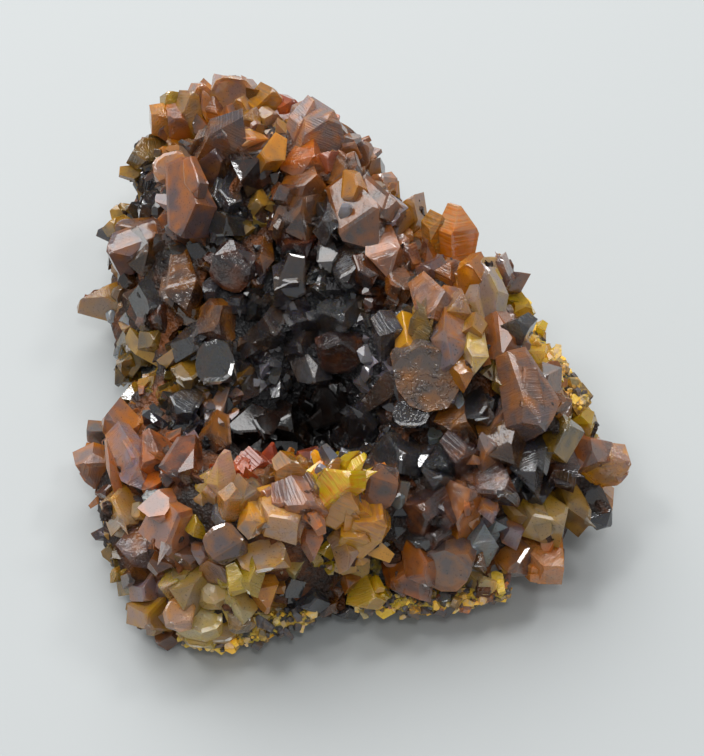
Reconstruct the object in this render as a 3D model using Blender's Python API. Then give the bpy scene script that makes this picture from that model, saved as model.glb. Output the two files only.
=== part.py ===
"""Orpiment on matrix: a three-cornered slab of dark rock, crusted with blocky orpiment crystals round a dark hollow.

Run it with blender --background --python part.py. The model is in metres, +Z up. Its origin is on the table, under the
middle of the slab, with -Y towards the front. Inside the script lengths are millimetres, and finished() makes them metres.
"""

import math
import random
from collections import namedtuple

import bmesh
import bpy
import numpy as np
from mathutils import Matrix, Vector, noise
from mathutils.bvhtree import BVHTree

MM = 0.001  # metres
SEED = 5  # of the roughness
GAP = 0.3  # clear space between two pieces that touch
STEEP = 1.8  # a gap measured upwards is this much larger, so that it stays clear on the slopes

# The crystals are laid out from one photograph, taken from the front and looking down on the slab.
PHOTO_CENTRE = (352, 378)  # pixels, in a photograph of 704 by 756
MM_PER_PIXEL = 0.2  # in the plane through SIGHT_CENTRE, square to the line of sight
SIGHT_ANGLE = math.radians(58)  # above the table
SIGHT_CENTRE = Vector((0, 0, 18))
EYE_DISTANCE = 420
TO_EYE = Vector((0, -math.cos(SIGHT_ANGLE), math.sin(SIGHT_ANGLE)))
PHOTO_RIGHT = Vector((1, 0, 0))
PHOTO_UP = Vector((0, math.sin(SIGHT_ANGLE), math.cos(SIGHT_ANGLE)))
EYE = SIGHT_CENTRE + EYE_DISTANCE * TO_EYE

# The slab's plan, anticlockwise from the front left corner. The waist is where the flank stands out furthest, the
# shoulder is the edge of the top, the foot stands back from the waist by the inset, and the cover is how thick the
# crust is on the flank.
Rim = namedtuple("Rim", "x y waist shoulder inset cover")
RIM = [
    Rim(-32, -52, 4, 13, 3, 0),
    Rim(-21, -50, 4, 15, 5, 0),
    Rim(-4, -45, 5, 13, 6, 0),
    Rim(9, -44, 5, 12, 6, 0),
    Rim(29, -40, 6, 13, 5, 1),
    Rim(38, -36, 8, 13, 5, 2),
    Rim(47, -27, 12, 18, 8, 3),
    Rim(50, -20, 14, 20, 8, 3),
    Rim(47, -11, 13, 22, 5, 2),
    Rim(38, 3, 14, 27, 2, 1),
    Rim(28, 17, 18, 30, 0, 2),
    Rim(20, 25, 18, 30, 0, 3),
    Rim(14, 26, 16, 28, 0, 3),
    Rim(8, 36, 18, 30, 0, 3),
    Rim(-4, 56, 20, 31, 0, 3),
    Rim(-13, 62, 20, 32, 0, 3),
    Rim(-26, 65, 20, 31, 0, 3),
    Rim(-36, 61, 18, 28, 0, 3),
    Rim(-46, 52, 12, 21, 2, 2),
    Rim(-49, 36, 10, 18, 3, 2),
    Rim(-51, 22, 10, 16, 5, 2),
    Rim(-46, 8, 5, 10, 2, 0),
    Rim(-47, -4, 6, 12, 2, 0),
    Rim(-51, -16, 9, 18, 4, 2),
    Rim(-48, -31, 5, 14, 2, 1),
    Rim(-40, -45, 4, 12, 2, 0),
]
SLAB_MIDDLE = Vector((-3, 2))
SLAB_REACH = 70  # from its middle to its farthest corner
SHOULDER_SHARE = 0.93  # of the way out from the middle to the waist
AROUND = 28  # corners of the slab's outline
TOP_RINGS = 5  # of points, from the shoulder in
PLATE_SLACK = 0.5  # how freely the top passes by its spot heights
ROCK_ROUGHNESS = 1.4
ROCK_GRAIN = 9
CRUST_DEPTH = 3.8  # from the crust's surface down to the rock, on the top
HEM = 2.5  # how far under the waist the crust ends
BREAK_THROUGH = 1.5  # how fast the rock rises towards the middle of a bare spot, in crust depths

# Places where the rock breaks through the crust: x, y and radius.
Bare = namedtuple("Bare", "x y radius")
BARE_SPOTS = [Bare(-46, 3, 14), Bare(8, -41, 9)]

# Spot heights of the crusted top, as on a map: x, y and height.
SPOTS = [
    (-24, 54, 37), (-12, 51, 38), (-4, 46, 38), (-36, 51, 33), (-42, 46, 26),
    (-31, 33, 33), (-18, 33, 36), (-2, 31, 36), (-10, 27, 34),
    (10, 26, 36), (19, 15, 37), (25, 5, 38), (28, -3, 36), (15, -9, 34), (34, -15, 31), (42, -20, 25),
    (-20, 15, 30), (-10, 11, 29), (0, 8, 30), (-30, 12, 28), (-41, 15, 23),
    (-26, 0, 25), (-14, 0, 21), (-2, -1, 23), (6, -9, 25),
    (-7, -7, 9), (-13, -10, 9), (-1, -11, 10), (-43, 0, 14),
    (-46, -18, 21), (-34, -28, 27), (-23, -31, 31), (-12, -30, 33), (0, -32, 33),
    (-36, -39, 25), (-24, -42, 27), (-13, -41, 26), (-2, -39, 25), (5, -36, 25),
    (8, -40, 17), (15, -21, 26), (15, -31, 24), (15, -38, 19),
    (24, -28, 27), (25, -35, 20), (36, -26, 26), (36, -32, 19),
]  # fmt: skip

# The dark druse lines the hollow. This is its outline in plan.
DRUSE_OUTLINE = [(-34, 6), (-26, 16), (-14, 19), (0, 17), (6, 10), (7, -2), (6, -14), (2, -19), (-8, -19),
                 (-20, -16), (-30, -11), (-36, -4)]  # fmt: skip
DRUSE_AROUND = 16
PRISM_HEIGHT = 72

# A crystal's place is the middle of what shows of it. Aim is the way its tip points in the photograph, in degrees
# anticlockwise from the right, and rise is how far the tip turns from the picture's plane towards the eye.
Crystal = namedtuple("Crystal", "across down wide long habit aim rise")
THICKNESS = {"block": 0.8, "spear": 0.75, "shield": 0.42, "wedge": 0.7}
ROOT_SHARE = 0.55  # of the length that shows, sunk in the crust
PROUD_SHARE = 0.3  # of a crystal's depth along the sight line, that stands over its place
CORNERED_WIDTH = 7  # from this width a block has a corner cut off
SHIELD_SIDES = (20, 62, 100, 140, 172, 215, 325)  # degrees round a shield, where its edge is trimmed

NORTH = [
    Crystal(232, 92, 9.4, 9.0, "shield", 80, 30),
    Crystal(202, 96, 5.6, 7.6, "block", 100, 35),
    Crystal(172, 99, 4.6, 5.2, "block", 130, 30),
    Crystal(175, 120, 7.2, 7.2, "block", 150, 50),
    Crystal(263, 102, 6.6, 7.2, "block", 85, 35),
    Crystal(172, 145, 6.0, 5.0, "block", 200, 60),
    Crystal(171, 168, 9.0, 6.6, "shield", 290, 35),
    Crystal(142, 151, 5.6, 6.5, "block", 190, 40),
    Crystal(149, 181, 4.6, 5.0, "block", 200, 50),
    Crystal(191, 212, 9.0, 12.0, "block", 285, 40),
    Crystal(226, 134, 8.6, 9.6, "wedge", 50, 45),
    Crystal(246, 168, 9.6, 8.0, "wedge", 245, 60),
    Crystal(288, 108, 6.0, 6.6, "block", 80, 40),
    Crystal(316, 134, 9.6, 12.0, "block", 65, 30),
    Crystal(302, 166, 8.6, 5.4, "wedge", 260, 60),
    Crystal(341, 134, 3.6, 5.0, "block", 90, 25),
    Crystal(361, 157, 4.4, 6.0, "shield", 80, 30),
    Crystal(344, 178, 7.0, 5.6, "wedge", 300, 50),
    Crystal(303, 188, 9.4, 5.6, "wedge", 270, 55),
    Crystal(293, 220, 12.0, 9.0, "wedge", 215, 60),
    Crystal(333, 225, 6.6, 7.6, "block", 270, 70),
    Crystal(367, 226, 10.6, 10.6, "wedge", 300, 50),
    Crystal(384, 208, 6.6, 10.0, "shield", 320, 40),
    Crystal(384, 184, 6.0, 5.6, "block", 60, 45),
    Crystal(414, 214, 5.6, 8.6, "block", 70, 35),
    Crystal(386, 256, 7.6, 8.6, "wedge", 280, 50),
    Crystal(226, 199, 5.4, 6.0, "block", 260, 65),
    Crystal(229, 229, 6.2, 6.0, "wedge", 320, 50),
    Crystal(125, 250, 7.6, 9.6, "block", 215, 35),
    Crystal(141, 264, 7.6, 7.0, "wedge", 270, 60),
    Crystal(119, 226, 4.6, 6.0, "block", 160, 40),
    Crystal(105, 300, 8.0, 10.0, "spear", 180, 30),
    Crystal(147, 300, 8.0, 7.4, "block", 250, 60),
    Crystal(184, 291, 7.2, 8.4, "wedge", 280, 60),
    Crystal(158, 326, 10.0, 6.6, "block", 200, 65),
]

EAST = [
    Crystal(440, 238, 4.6, 9.6, "wedge", 85, 35),
    Crystal(458, 230, 7.0, 11.0, "spear", 90, 25),
    Crystal(481, 288, 7.0, 14.0, "spear", 82, 40),
    Crystal(438, 308, 7.6, 7.0, "block", 300, 60),
    Crystal(452, 340, 6.8, 10.0, "wedge", 270, 50),
    Crystal(475, 350, 4.8, 13.0, "spear", 268, 40),
    Crystal(424, 322, 5.2, 11.0, "block", 80, 50),
    Crystal(501, 275, 5.6, 8.0, "block", 70, 35),
    Crystal(505, 346, 8.0, 9.0, "block", 290, 50),
    Crystal(534, 356, 5.6, 4.8, "wedge", 20, 40),
    Crystal(428, 376, 15.0, 12.0, "shield", 90, 10),
    Crystal(411, 416, 7.4, 5.8, "shield", 268, 24),
    Crystal(534, 411, 11.0, 13.0, "block", 290, 45),
    Crystal(540, 378, 8.0, 7.0, "block", 40, 50),
    Crystal(587, 426, 5.6, 4.8, "block", 20, 45),
    Crystal(563, 438, 9.0, 6.0, "block", 10, 55),
    Crystal(588, 458, 9.0, 8.6, "block", 330, 55),
    Crystal(613, 464, 6.0, 9.0, "block", 20, 30),
    Crystal(564, 473, 6.0, 6.6, "block", 300, 60),
    Crystal(597, 506, 5.2, 8.0, "shield", 285, 25),
    Crystal(573, 511, 6.0, 9.0, "block", 290, 45),
    Crystal(545, 522, 8.6, 9.0, "block", 310, 50),
    Crystal(530, 468, 7.0, 10.0, "wedge", 285, 50),
    Crystal(508, 448, 8.6, 7.6, "wedge", 300, 55),
    Crystal(465, 452, 7.4, 7.6, "block", 90, 65),
    Crystal(440, 463, 6.8, 6.2, "block", 100, 65),
    Crystal(403, 455, 9.6, 6.6, "block", 30, 65),
    Crystal(498, 488, 7.6, 8.0, "block", 292, 56),
    Crystal(460, 506, 7.6, 9.0, "block", 100, 60),
    Crystal(424, 508, 8.6, 8.0, "block", 80, 60),
    Crystal(483, 538, 6.8, 6.6, "wedge", 80, 50),
    Crystal(447, 566, 10.0, 9.6, "shield", 80, 45),
    Crystal(520, 562, 7.8, 5.2, "block", 300, 45),
    Crystal(551, 560, 8.4, 8.6, "block", 320, 35),
    Crystal(424, 543, 8.0, 5.6, "block", 250, 60),
    Crystal(413, 578, 8.2, 9.0, "wedge", 290, 50),
    Crystal(478, 584, 8.4, 5.8, "wedge", 274, 42),
]

FRONT = [
    Crystal(95, 467, 7.6, 9.8, "block", 172, 34),
    Crystal(136, 473, 8.2, 9.4, "wedge", 300, 50),
    Crystal(121, 426, 7.0, 9.0, "block", 105, 45),
    Crystal(98, 432, 4.8, 5.2, "block", 140, 35),
    Crystal(156, 456, 8.4, 7.2, "block", 70, 65),
    Crystal(180, 474, 7.6, 6.8, "block", 260, 65),
    Crystal(218, 484, 6.4, 10.4, "spear", 88, 40),
    Crystal(247, 492, 6.8, 7.0, "wedge", 100, 55),
    Crystal(291, 468, 7.4, 8.4, "block", 85, 35),
    Crystal(342, 477, 9.4, 8.0, "block", 50, 40),
    Crystal(382, 489, 6.4, 7.4, "shield", 70, 40),
    Crystal(303, 502, 8.8, 7.6, "block", 70, 65),
    Crystal(282, 523, 7.6, 7.0, "block", 310, 55),
    Crystal(371, 522, 8.2, 7.6, "block", 60, 60),
    Crystal(346, 546, 6.0, 9.0, "wedge", 270, 45),
    Crystal(262, 556, 9.8, 8.2, "shield", 280, 30),
    Crystal(223, 543, 7.6, 6.6, "shield", 300, 50),
    Crystal(169, 527, 12.0, 9.0, "block", 200, 65),
    Crystal(119, 512, 8.0, 7.8, "block", 240, 50),
    Crystal(135, 555, 7.4, 6.4, "block", 250, 50),
    Crystal(182, 558, 8.8, 5.8, "block", 280, 55),
    Crystal(186, 588, 9.4, 9.2, "wedge", 260, 45),
    Crystal(151, 620, 8.6, 7.0, "block", 230, 35),
    Crystal(200, 616, 9.0, 8.0, "shield", 260, 30),
    Crystal(236, 603, 6.4, 9.4, "block", 268, 40),
    Crystal(262, 590, 6.2, 7.4, "wedge", 290, 45),
]

DRUSE = [
    Crystal(298, 248, 7.4, 5.8, "wedge", 300, 60),
    Crystal(365, 418, 6.6, 6.2, "block", 80, 65),
    Crystal(270, 330, 6.4, 6.0, "block", 250, 65),
    Crystal(215, 364, 8.2, 9.6, "shield", 270, 15),
    Crystal(192, 348, 7.2, 6.4, "block", 250, 65),
    Crystal(232, 269, 9.0, 8.2, "shield", 58, 52),
    Crystal(281, 286, 8.2, 7.4, "wedge", 230, 60),
    Crystal(339, 311, 8.6, 7.2, "block", 60, 75),
    Crystal(354, 274, 7.6, 6.2, "block", 290, 60),
    Crystal(383, 277, 7.6, 6.0, "wedge", 310, 55),
    Crystal(393, 330, 7.4, 7.2, "block", 80, 70),
    Crystal(341, 354, 9.8, 7.2, "shield", 90, 40),
    Crystal(312, 372, 5.8, 8.0, "block", 305, 50),
    Crystal(336, 394, 7.4, 7.2, "block", 50, 60),
    Crystal(284, 423, 8.0, 6.8, "wedge", 320, 55),
    Crystal(243, 435, 6.8, 5.8, "block", 240, 55),
    Crystal(213, 442, 5.8, 5.4, "block", 260, 55),
    Crystal(184, 380, 6.0, 6.2, "block", 230, 60),
    Crystal(214, 324, 8.4, 6.4, "block", 200, 75),
    Crystal(300, 320, 6.0, 5.6, "block", 100, 70),
    Crystal(300, 345, 6.2, 6.0, "block", 200, 65),
]

# Crystals on the flanks that the photograph doesn't show: how many, and the sector of the slab where they grow.
HIDDEN_CRYSTALS = [(21, 42, 148), (5, -18, 36)]
HIDDEN_WIDE = (6.0, 9.0)
HIDDEN_HABITS = ("block", "wedge", "block", "spear")
HIDDEN_LEVELS = (0.9, 2)  # from this share of the waist's height, to so much over the shoulder
HIDDEN_PROUD = 0.25  # of the length

# Massive yellow orpiment between the rock and the crystals: lumps along the rim, as middle and radius.
Lump = namedtuple("Lump", "x y z radius")
RIGHT_SEAM = [Lump(32, 11, 27, 3.8), Lump(34, 7, 25.5, 4.2), Lump(36.5, 3, 24, 4.2), Lump(39, -0.5, 22.5, 4.2),
              Lump(41.5, -3.5, 21.5, 4.2), Lump(44, -7, 21, 4)]  # fmt: skip
FRONT_SEAM = [Lump(-31, -50, 5.4, 3.8), Lump(-27, -50.5, 5.6, 4), Lump(-22.7, -50.2, 5.8, 4),
              Lump(-18.3, -49.2, 6.6, 4), Lump(-14, -48.2, 7.4, 4), Lump(-9.6, -46.8, 8, 3.8)]  # fmt: skip
LEDGE_SEAM = [Lump(2.3, -44, 9, 3.8), Lump(6.6, -44.2, 7.8, 3.8), Lump(10.9, -44.4, 7.4, 3.8),
              Lump(15.3, -44, 7.6, 3.8), Lump(19.6, -43.2, 7.4, 3.8), Lump(24, -42.2, 7.4, 3.8),
              Lump(28.4, -41.4, 7.8, 3.6)]  # fmt: skip
SEAMS = {"right_yellow_seam": RIGHT_SEAM, "front_yellow_seam": FRONT_SEAM, "ledge_yellow_seam": LEDGE_SEAM}
LUMP_ROUGHNESS = 0.9
LUMP_GRAIN = 2

COLOURS = {
    "rock": ((0.10, 0.11, 0.09), 0.85),
    "orpiment": ((0.42, 0.17, 0.09), 0.30),
    "druse": ((0.05, 0.045, 0.05), 0.25),
    "seam": ((0.62, 0.45, 0.05), 0.75),
}


def clear_scene():
    for old in list(bpy.data.objects):
        bpy.data.objects.remove(old)


def thin_plate(spots):
    """A smooth surface over the plan that passes close to every spot height."""
    plan = np.array([spot[:2] for spot in spots], float)
    heights = np.array([spot[2] for spot in spots], float)
    count = len(spots)

    def bend(gaps):
        return gaps**2 * np.log(gaps + 1e-9)

    kernel = bend(np.linalg.norm(plan[:, None] - plan[None], axis=2)) + PLATE_SLACK * np.eye(count)
    level = np.hstack([np.ones((count, 1)), plan])
    system = np.block([[kernel, level], [level.T, np.zeros((3, 3))]])
    weights = np.linalg.solve(system, np.append(heights, np.zeros(3)))

    def height(x, y):
        near = bend(np.hypot(plan[:, 0] - x, plan[:, 1] - y))
        return float(near @ weights[:count] + weights[count:] @ (1, x, y))

    return height


def around(points, middle, angle):
    """How far out from the middle a closed plan outline lies, in one direction. A point may carry further values."""
    rows = np.array(points, float)
    out = rows[:, :2] - np.array(middle)
    angles = np.arctan2(out[:, 1], out[:, 0])
    columns = [np.hypot(*out.T), *rows[:, 2:].T]
    return [float(np.interp(angle, angles, column, period=2 * math.pi)) for column in columns]


def shaped_ball(segments, rings, shape):
    """A sphere primitive, each of whose points is moved to shape(angle, ring)."""
    ball = bmesh.new()
    bmesh.ops.create_uvsphere(ball, u_segments=segments, v_segments=rings, radius=1)
    for point in ball.verts:
        angle = math.atan2(point.co.y, point.co.x)
        ring = round(rings * (math.asin(max(-1, min(1, point.co.z))) / math.pi + 0.5))
        point.co = shape(angle, ring)
    return ball


def rock_depth(x, y):
    """How far the rock lies under the crust's surface. Where it breaks through, it stands a little above."""
    nearness = max(1 - math.hypot(x - bare.x, y - bare.y) / bare.radius for bare in BARE_SPOTS)
    return CRUST_DEPTH * (1 - max(0, BREAK_THROUGH * nearness))


def slab(height, rock=False, swell=0):
    """The slab with its crust, or the rock alone. Ring 0 is the middle of the foot, 2 the waist and 3 the shoulder."""
    last = TOP_RINGS + 3

    def shape(angle, ring):
        reach, waist, shoulder, inset, cover = around(RIM, SLAB_MIDDLE, angle)
        out = Vector((math.cos(angle), math.sin(angle)))
        flank = reach - cover if rock else reach
        if ring == 0:
            return Vector((*SLAB_MIDDLE, -swell if rock else HEM))
        if ring == 1 and rock:
            return Vector((*(SLAB_MIDDLE + (flank - inset + swell) * out), -swell))
        if ring == 1:
            return Vector((*(SLAB_MIDDLE + (reach - cover - HEM) * out), waist - HEM))
        if ring == 2:
            rough = ROCK_ROUGHNESS * noise.noise_vector(Vector((*(reach * out), waist)) / ROCK_GRAIN)
            return Vector((*(SLAB_MIDDLE + (flank + swell) * out), waist)) + rough
        x, y = SLAB_MIDDLE + flank * SHOULDER_SHARE * (last - ring) / TOP_RINGS * out
        top = shoulder if ring == 3 else height(x, y)
        return Vector((x, y, top - (rock_depth(x, y) - STEEP * swell if rock else 0)))

    body = shaped_ball(AROUND, last, shape)
    bmesh.ops.triangulate(body, faces=body.faces, quad_method="FIXED")
    foot = [face for face in body.faces if all(abs(point.co.z + swell) < 1e-3 for point in face.verts)]
    if foot:
        bmesh.ops.dissolve_faces(body, faces=foot)
    return body


def hollow_prism(swell=0):
    """An upright prism over the whole of the hollow."""
    middle = Vector(np.mean(DRUSE_OUTLINE, axis=0))
    prism = bmesh.new()
    bmesh.ops.create_cone(
        prism, cap_ends=True, segments=DRUSE_AROUND, radius1=1, radius2=1, depth=PRISM_HEIGHT
    )
    for point in prism.verts:
        angle = math.atan2(point.co.y, point.co.x)
        (reach,) = around(DRUSE_OUTLINE, middle, angle)
        x, y = middle + (reach + swell) * Vector((math.cos(angle), math.sin(angle)))
        point.co = Vector((x, y, point.co.z + PRISM_HEIGHT / 4))
    return prism


def sight_line(across, down):
    """The direction from the eye through one pixel of the photograph."""
    right = (across - PHOTO_CENTRE[0]) * MM_PER_PIXEL
    up = (PHOTO_CENTRE[1] - down) * MM_PER_PIXEL
    return (SIGHT_CENTRE + right * PHOTO_RIGHT + up * PHOTO_UP - EYE).normalized()


def seen_place(across, down, surface):
    """Where a sight line meets the surface, or comes nearest to it past its edge."""
    line = sight_line(across, down)
    place = surface.ray_cast(EYE, line)[0]
    if place is not None:
        return place
    along = [EYE + far * line for far in range(EYE_DISTANCE - SLAB_REACH, EYE_DISTANCE + SLAB_REACH)]
    return min(along, key=lambda place: surface.find_nearest(place)[3])


def slice_off(solid, place, facing):
    """Cuts a convex solid flat at a plane and keeps what lies behind it."""
    cut = bmesh.ops.bisect_plane(
        solid,
        geom=solid.verts[:] + solid.edges[:] + solid.faces[:],
        plane_co=place,
        plane_no=facing,
        clear_outer=True,
    )["geom_cut"]
    edges = [piece for piece in cut if isinstance(piece, bmesh.types.BMEdge)]
    if edges:
        bmesh.ops.edgeloop_fill(solid, edges=edges)


def facets(habit, wide, long, thick, dice):
    """The planes that turn a box into a crystal, as place and direction. The tip is at the top, long / 2 up."""
    tip = long / 2
    vary = dice.uniform
    planes = []
    if habit == "block":
        lean = vary(-0.2, 0.2) * wide
        for side in (-1, 1):
            planes.append(((lean, 0, tip * vary(0.85, 0.98)), (side * vary(0.7, 1.1), 0.12 * side, 1)))
        if wide > CORNERED_WIDTH:
            side = dice.choice((-1, 1))
            planes.append(((side * wide * vary(0.30, 0.40), thick / 2, 0), (side, vary(0.8, 1.2), 0)))
        planes.append(((0, thick * 0.28, tip), (0, vary(0.8, 1.1), vary(0.7, 1.0))))
    if habit == "spear":
        for side in (-1, 1):
            planes.append(((side * 0.1, 0, tip * 0.97), (side * vary(1.5, 1.9), 0.4, vary(0.9, 1.1))))
            planes.append(((side * wide * 0.33, thick / 2, 0), (side, 0.9, 0)))
        planes.append(((0, thick * 0.1, tip * 0.94), (vary(-0.3, 0.3), 1.3, 0.8)))
    if habit == "shield":
        for turn in SHIELD_SIDES:
            slant = math.radians(turn + vary(-9, 9))
            way = Vector((math.cos(slant), 0, math.sin(slant)))
            planes.append((Vector((way.x * wide, 0, way.z * long)) * vary(0.44, 0.5), way))
        slant = math.radians(vary(40, 140))
        way = Vector((math.cos(slant), 1.6, math.sin(slant)))
        planes.append((Vector((way.x * wide, thick, way.z * long)) * 0.36, way))
    if habit == "wedge":
        for side in (-1, 1):
            planes.append(((vary(-0.1, 0.1) * wide, 0, tip * 0.97), (side * vary(1.0, 1.6), 0, 1)))
        planes.append(((0, thick * vary(0.0, 0.15), tip * 0.95), (vary(-0.25, 0.25), vary(0.7, 1.0), 0.6)))
    return planes


def crystal_solid(crystal, seat, swell=0):
    """One crystal in place. Every crystal of a size and habit differs a little, and always in the same way."""
    dice = random.Random(crystal.across * 1000 + crystal.down)
    thick = THICKNESS[crystal.habit] * min(crystal.wide, crystal.long * 1.2)
    root = ROOT_SHARE * crystal.long
    solid = bmesh.new()
    bmesh.ops.create_cube(solid, size=1)
    bmesh.ops.scale(solid, vec=(crystal.wide, thick, crystal.long + root), verts=solid.verts)
    bmesh.ops.translate(solid, vec=(0, 0, -root / 2), verts=solid.verts)
    for place, facing in facets(crystal.habit, crystal.wide, crystal.long, thick, dice):
        slice_off(solid, place, Vector(facing).normalized())
    bmesh.ops.recalc_face_normals(solid, faces=solid.faces)
    if swell:
        grow = [1 + 2 * swell / side for side in (crystal.wide, thick, crystal.long)]
        bmesh.ops.scale(solid, vec=grow, verts=solid.verts)
    solid.transform(seat)
    return solid


def turned(axis, front, place):
    """A matrix that stands a solid at a place, with its top along axis and its face turned to the front."""
    across = front.cross(axis).normalized()
    face = axis.cross(across)
    rows = Matrix((across, face, axis)).transposed()
    return Matrix.Translation(place) @ rows.to_4x4()


def seat_of(crystal, surface):
    """Places a crystal of the photograph: half sunk in the surface, on its sight line."""
    place = seen_place(crystal.across, crystal.down, surface)
    aim, rise = math.radians(crystal.aim), math.radians(crystal.rise)
    flat = math.cos(aim) * PHOTO_RIGHT + math.sin(aim) * PHOTO_UP
    axis = math.cos(rise) * flat + math.sin(rise) * TO_EYE
    thick = THICKNESS[crystal.habit] * crystal.wide
    proud = PROUD_SHARE * (crystal.long * math.sin(rise) + thick * math.cos(rise))
    return turned(axis, TO_EYE, place + proud * TO_EYE)


def hidden_crystals(count, first, last, surface):
    """Crystals on a flank away from the photograph, each square to the slope where it stands, give or take."""
    dice = random.Random(first)
    grown = []
    for number in range(count):
        angle = math.radians(first + (last - first) * (number + dice.random()) / count)
        reach, waist, shoulder, _, _ = around(RIM, SLAB_MIDDLE, angle)
        level = dice.uniform(HIDDEN_LEVELS[0] * waist, shoulder + HIDDEN_LEVELS[1])
        out = Vector((math.cos(angle), math.sin(angle), 0))
        start = Vector((*SLAB_MIDDLE, level)) + 2 * reach * out
        place, normal, _, _ = surface.ray_cast(start, -out)
        wide = dice.uniform(*HIDDEN_WIDE)
        habit = dice.choice(HIDDEN_HABITS)
        crystal = Crystal(number, first, wide, wide * dice.uniform(0.8, 1.2), habit, 0, 0)
        jitter = Vector([dice.uniform(-0.5, 0.5) for _ in range(3)])
        axis = (normal + Vector((0, 0, 0.5)) + jitter).normalized()
        place += HIDDEN_PROUD * crystal.long * axis
        grown.append((crystal, turned(axis, Vector((0.3, 0.2, 1)), place)))
    return grown


def lump_solid(lump, swell=0):
    """One knob of massive orpiment, a small faceted ball with its surface roughened."""
    place = Vector(lump[:3])
    ball = bmesh.new()
    bmesh.ops.create_icosphere(ball, subdivisions=1, radius=lump.radius + swell)
    for point in ball.verts:
        point.co += LUMP_ROUGHNESS * noise.noise_vector(point.co / LUMP_GRAIN + place)
    bmesh.ops.translate(ball, vec=place, verts=ball.verts)
    return ball


def as_object(name, shape, collection):
    mesh = bpy.data.meshes.new(name)
    shape.to_mesh(mesh)
    shape.free()
    made = bpy.data.objects.new(name, mesh)
    collection.objects.link(made)
    return made


def solved(base, operation, others, helpers):
    """The base joined with, or cut by, the other shapes, which it uses up. Points along a straight edge are dropped."""
    operands = bpy.data.collections.new("operands")
    helpers.children.link(operands)
    for number, shape in enumerate(others):
        as_object(f"operand_{number}", shape, operands)
    start = as_object("start", base, helpers)
    step = start.modifiers.new("join", "BOOLEAN")
    step.operation = operation
    step.operand_type = "COLLECTION"
    step.collection = operands
    result = bmesh.new()
    result.from_object(start, bpy.context.evaluated_depsgraph_get())
    for used in [start, *operands.objects]:
        bpy.data.objects.remove(used)
    bpy.data.collections.remove(operands)
    bmesh.ops.dissolve_verts(result, verts=[point for point in result.verts if len(point.link_edges) == 2])
    return result


def largest_part(shape):
    """Drops the crumbs that a cut leaves loose."""
    unseen, parts = set(shape.faces), []
    while unseen:
        part = [unseen.pop()]
        for face in part:
            near = {other for edge in face.edges for other in edge.link_faces} & unseen
            unseen -= near
            part.extend(near)
        parts.append(part)
    parts.sort(key=len)
    crumbs = [face for part in parts[:-1] for face in part]
    bmesh.ops.delete(shape, geom=crumbs, context="FACES")
    return shape


def finished(name, shape, look, collection):
    """The named piece, in metres, with its material."""
    bmesh.ops.triangulate(shape, faces=shape.faces)
    shape.transform(Matrix.Scale(MM, 4))
    made = as_object(name, shape, collection)
    material = bpy.data.materials.new(name)
    material.use_nodes = True
    colour, roughness = COLOURS[look]
    shader = material.node_tree.nodes["Principled BSDF"]
    shader.inputs["Base Color"].default_value = (*colour, 1)
    shader.inputs["Roughness"].default_value = roughness
    made.data.materials.append(material)
    return made


def main():
    clear_scene()
    noise.seed_set(SEED)
    specimen = bpy.data.collections.new("orpiment_on_matrix")
    helpers = bpy.data.collections.new("helpers")
    bpy.context.scene.collection.children.link(specimen)
    bpy.context.scene.collection.children.link(helpers)

    shoulders = [(*(SLAB_MIDDLE + SHOULDER_SHARE * (Vector(rim[:2]) - SLAB_MIDDLE)), rim.shoulder) for rim in RIM]
    height = thin_plate(SPOTS + shoulders)
    surface = BVHTree.FromBMesh(slab(height))

    druse = [(crystal, seat_of(crystal, surface)) for crystal in DRUSE]
    crust = [(crystal, seat_of(crystal, surface)) for crystal in NORTH + EAST + FRONT]
    for sector in HIDDEN_CRYSTALS:
        crust += hidden_crystals(*sector, surface)

    def rock_cutter():
        return slab(height, rock=True, swell=GAP)

    cutters = [hollow_prism(GAP)] + [crystal_solid(*pair, GAP) for pair in druse]
    bed = solved(slab(height), "DIFFERENCE", cutters, helpers)
    joined = solved(bed, "UNION", [crystal_solid(*pair) for pair in crust], helpers)
    cutters = [lump_solid(lump, GAP) for lumps in SEAMS.values() for lump in lumps]
    cut = solved(joined, "DIFFERENCE", [rock_cutter(), *cutters], helpers)
    finished("crystal_crust", largest_part(cut), "orpiment", specimen)

    bed = solved(slab(height), "INTERSECT", [hollow_prism()], helpers)
    joined = solved(bed, "UNION", [crystal_solid(*pair) for pair in druse], helpers)
    cut = solved(joined, "DIFFERENCE", [rock_cutter()] + [crystal_solid(*pair, GAP) for pair in crust], helpers)
    finished("dark_druse", largest_part(cut), "druse", specimen)

    for name, lumps in SEAMS.items():
        first, *rest = [lump_solid(lump) for lump in lumps]
        joined = solved(first, "UNION", rest, helpers)
        cut = solved(joined, "DIFFERENCE", [rock_cutter()], helpers)
        finished(name, largest_part(cut), "seam", specimen)
    finished("matrix", slab(height, rock=True), "rock", specimen)


main()
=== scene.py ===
"""Orpiment on matrix: a three-cornered slab of dark rock, crusted with orpiment round a dark hollow.

The places are metres, as in the frame. Sizes of crystals and grains are millimetres, which MM makes metres.
"""

import math
import random
from collections import namedtuple

import bmesh
import bpy
import numpy as np
from mathutils import Matrix, Vector
from mathutils.bvhtree import BVHTree
from mathutils.kdtree import KDTree


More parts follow.
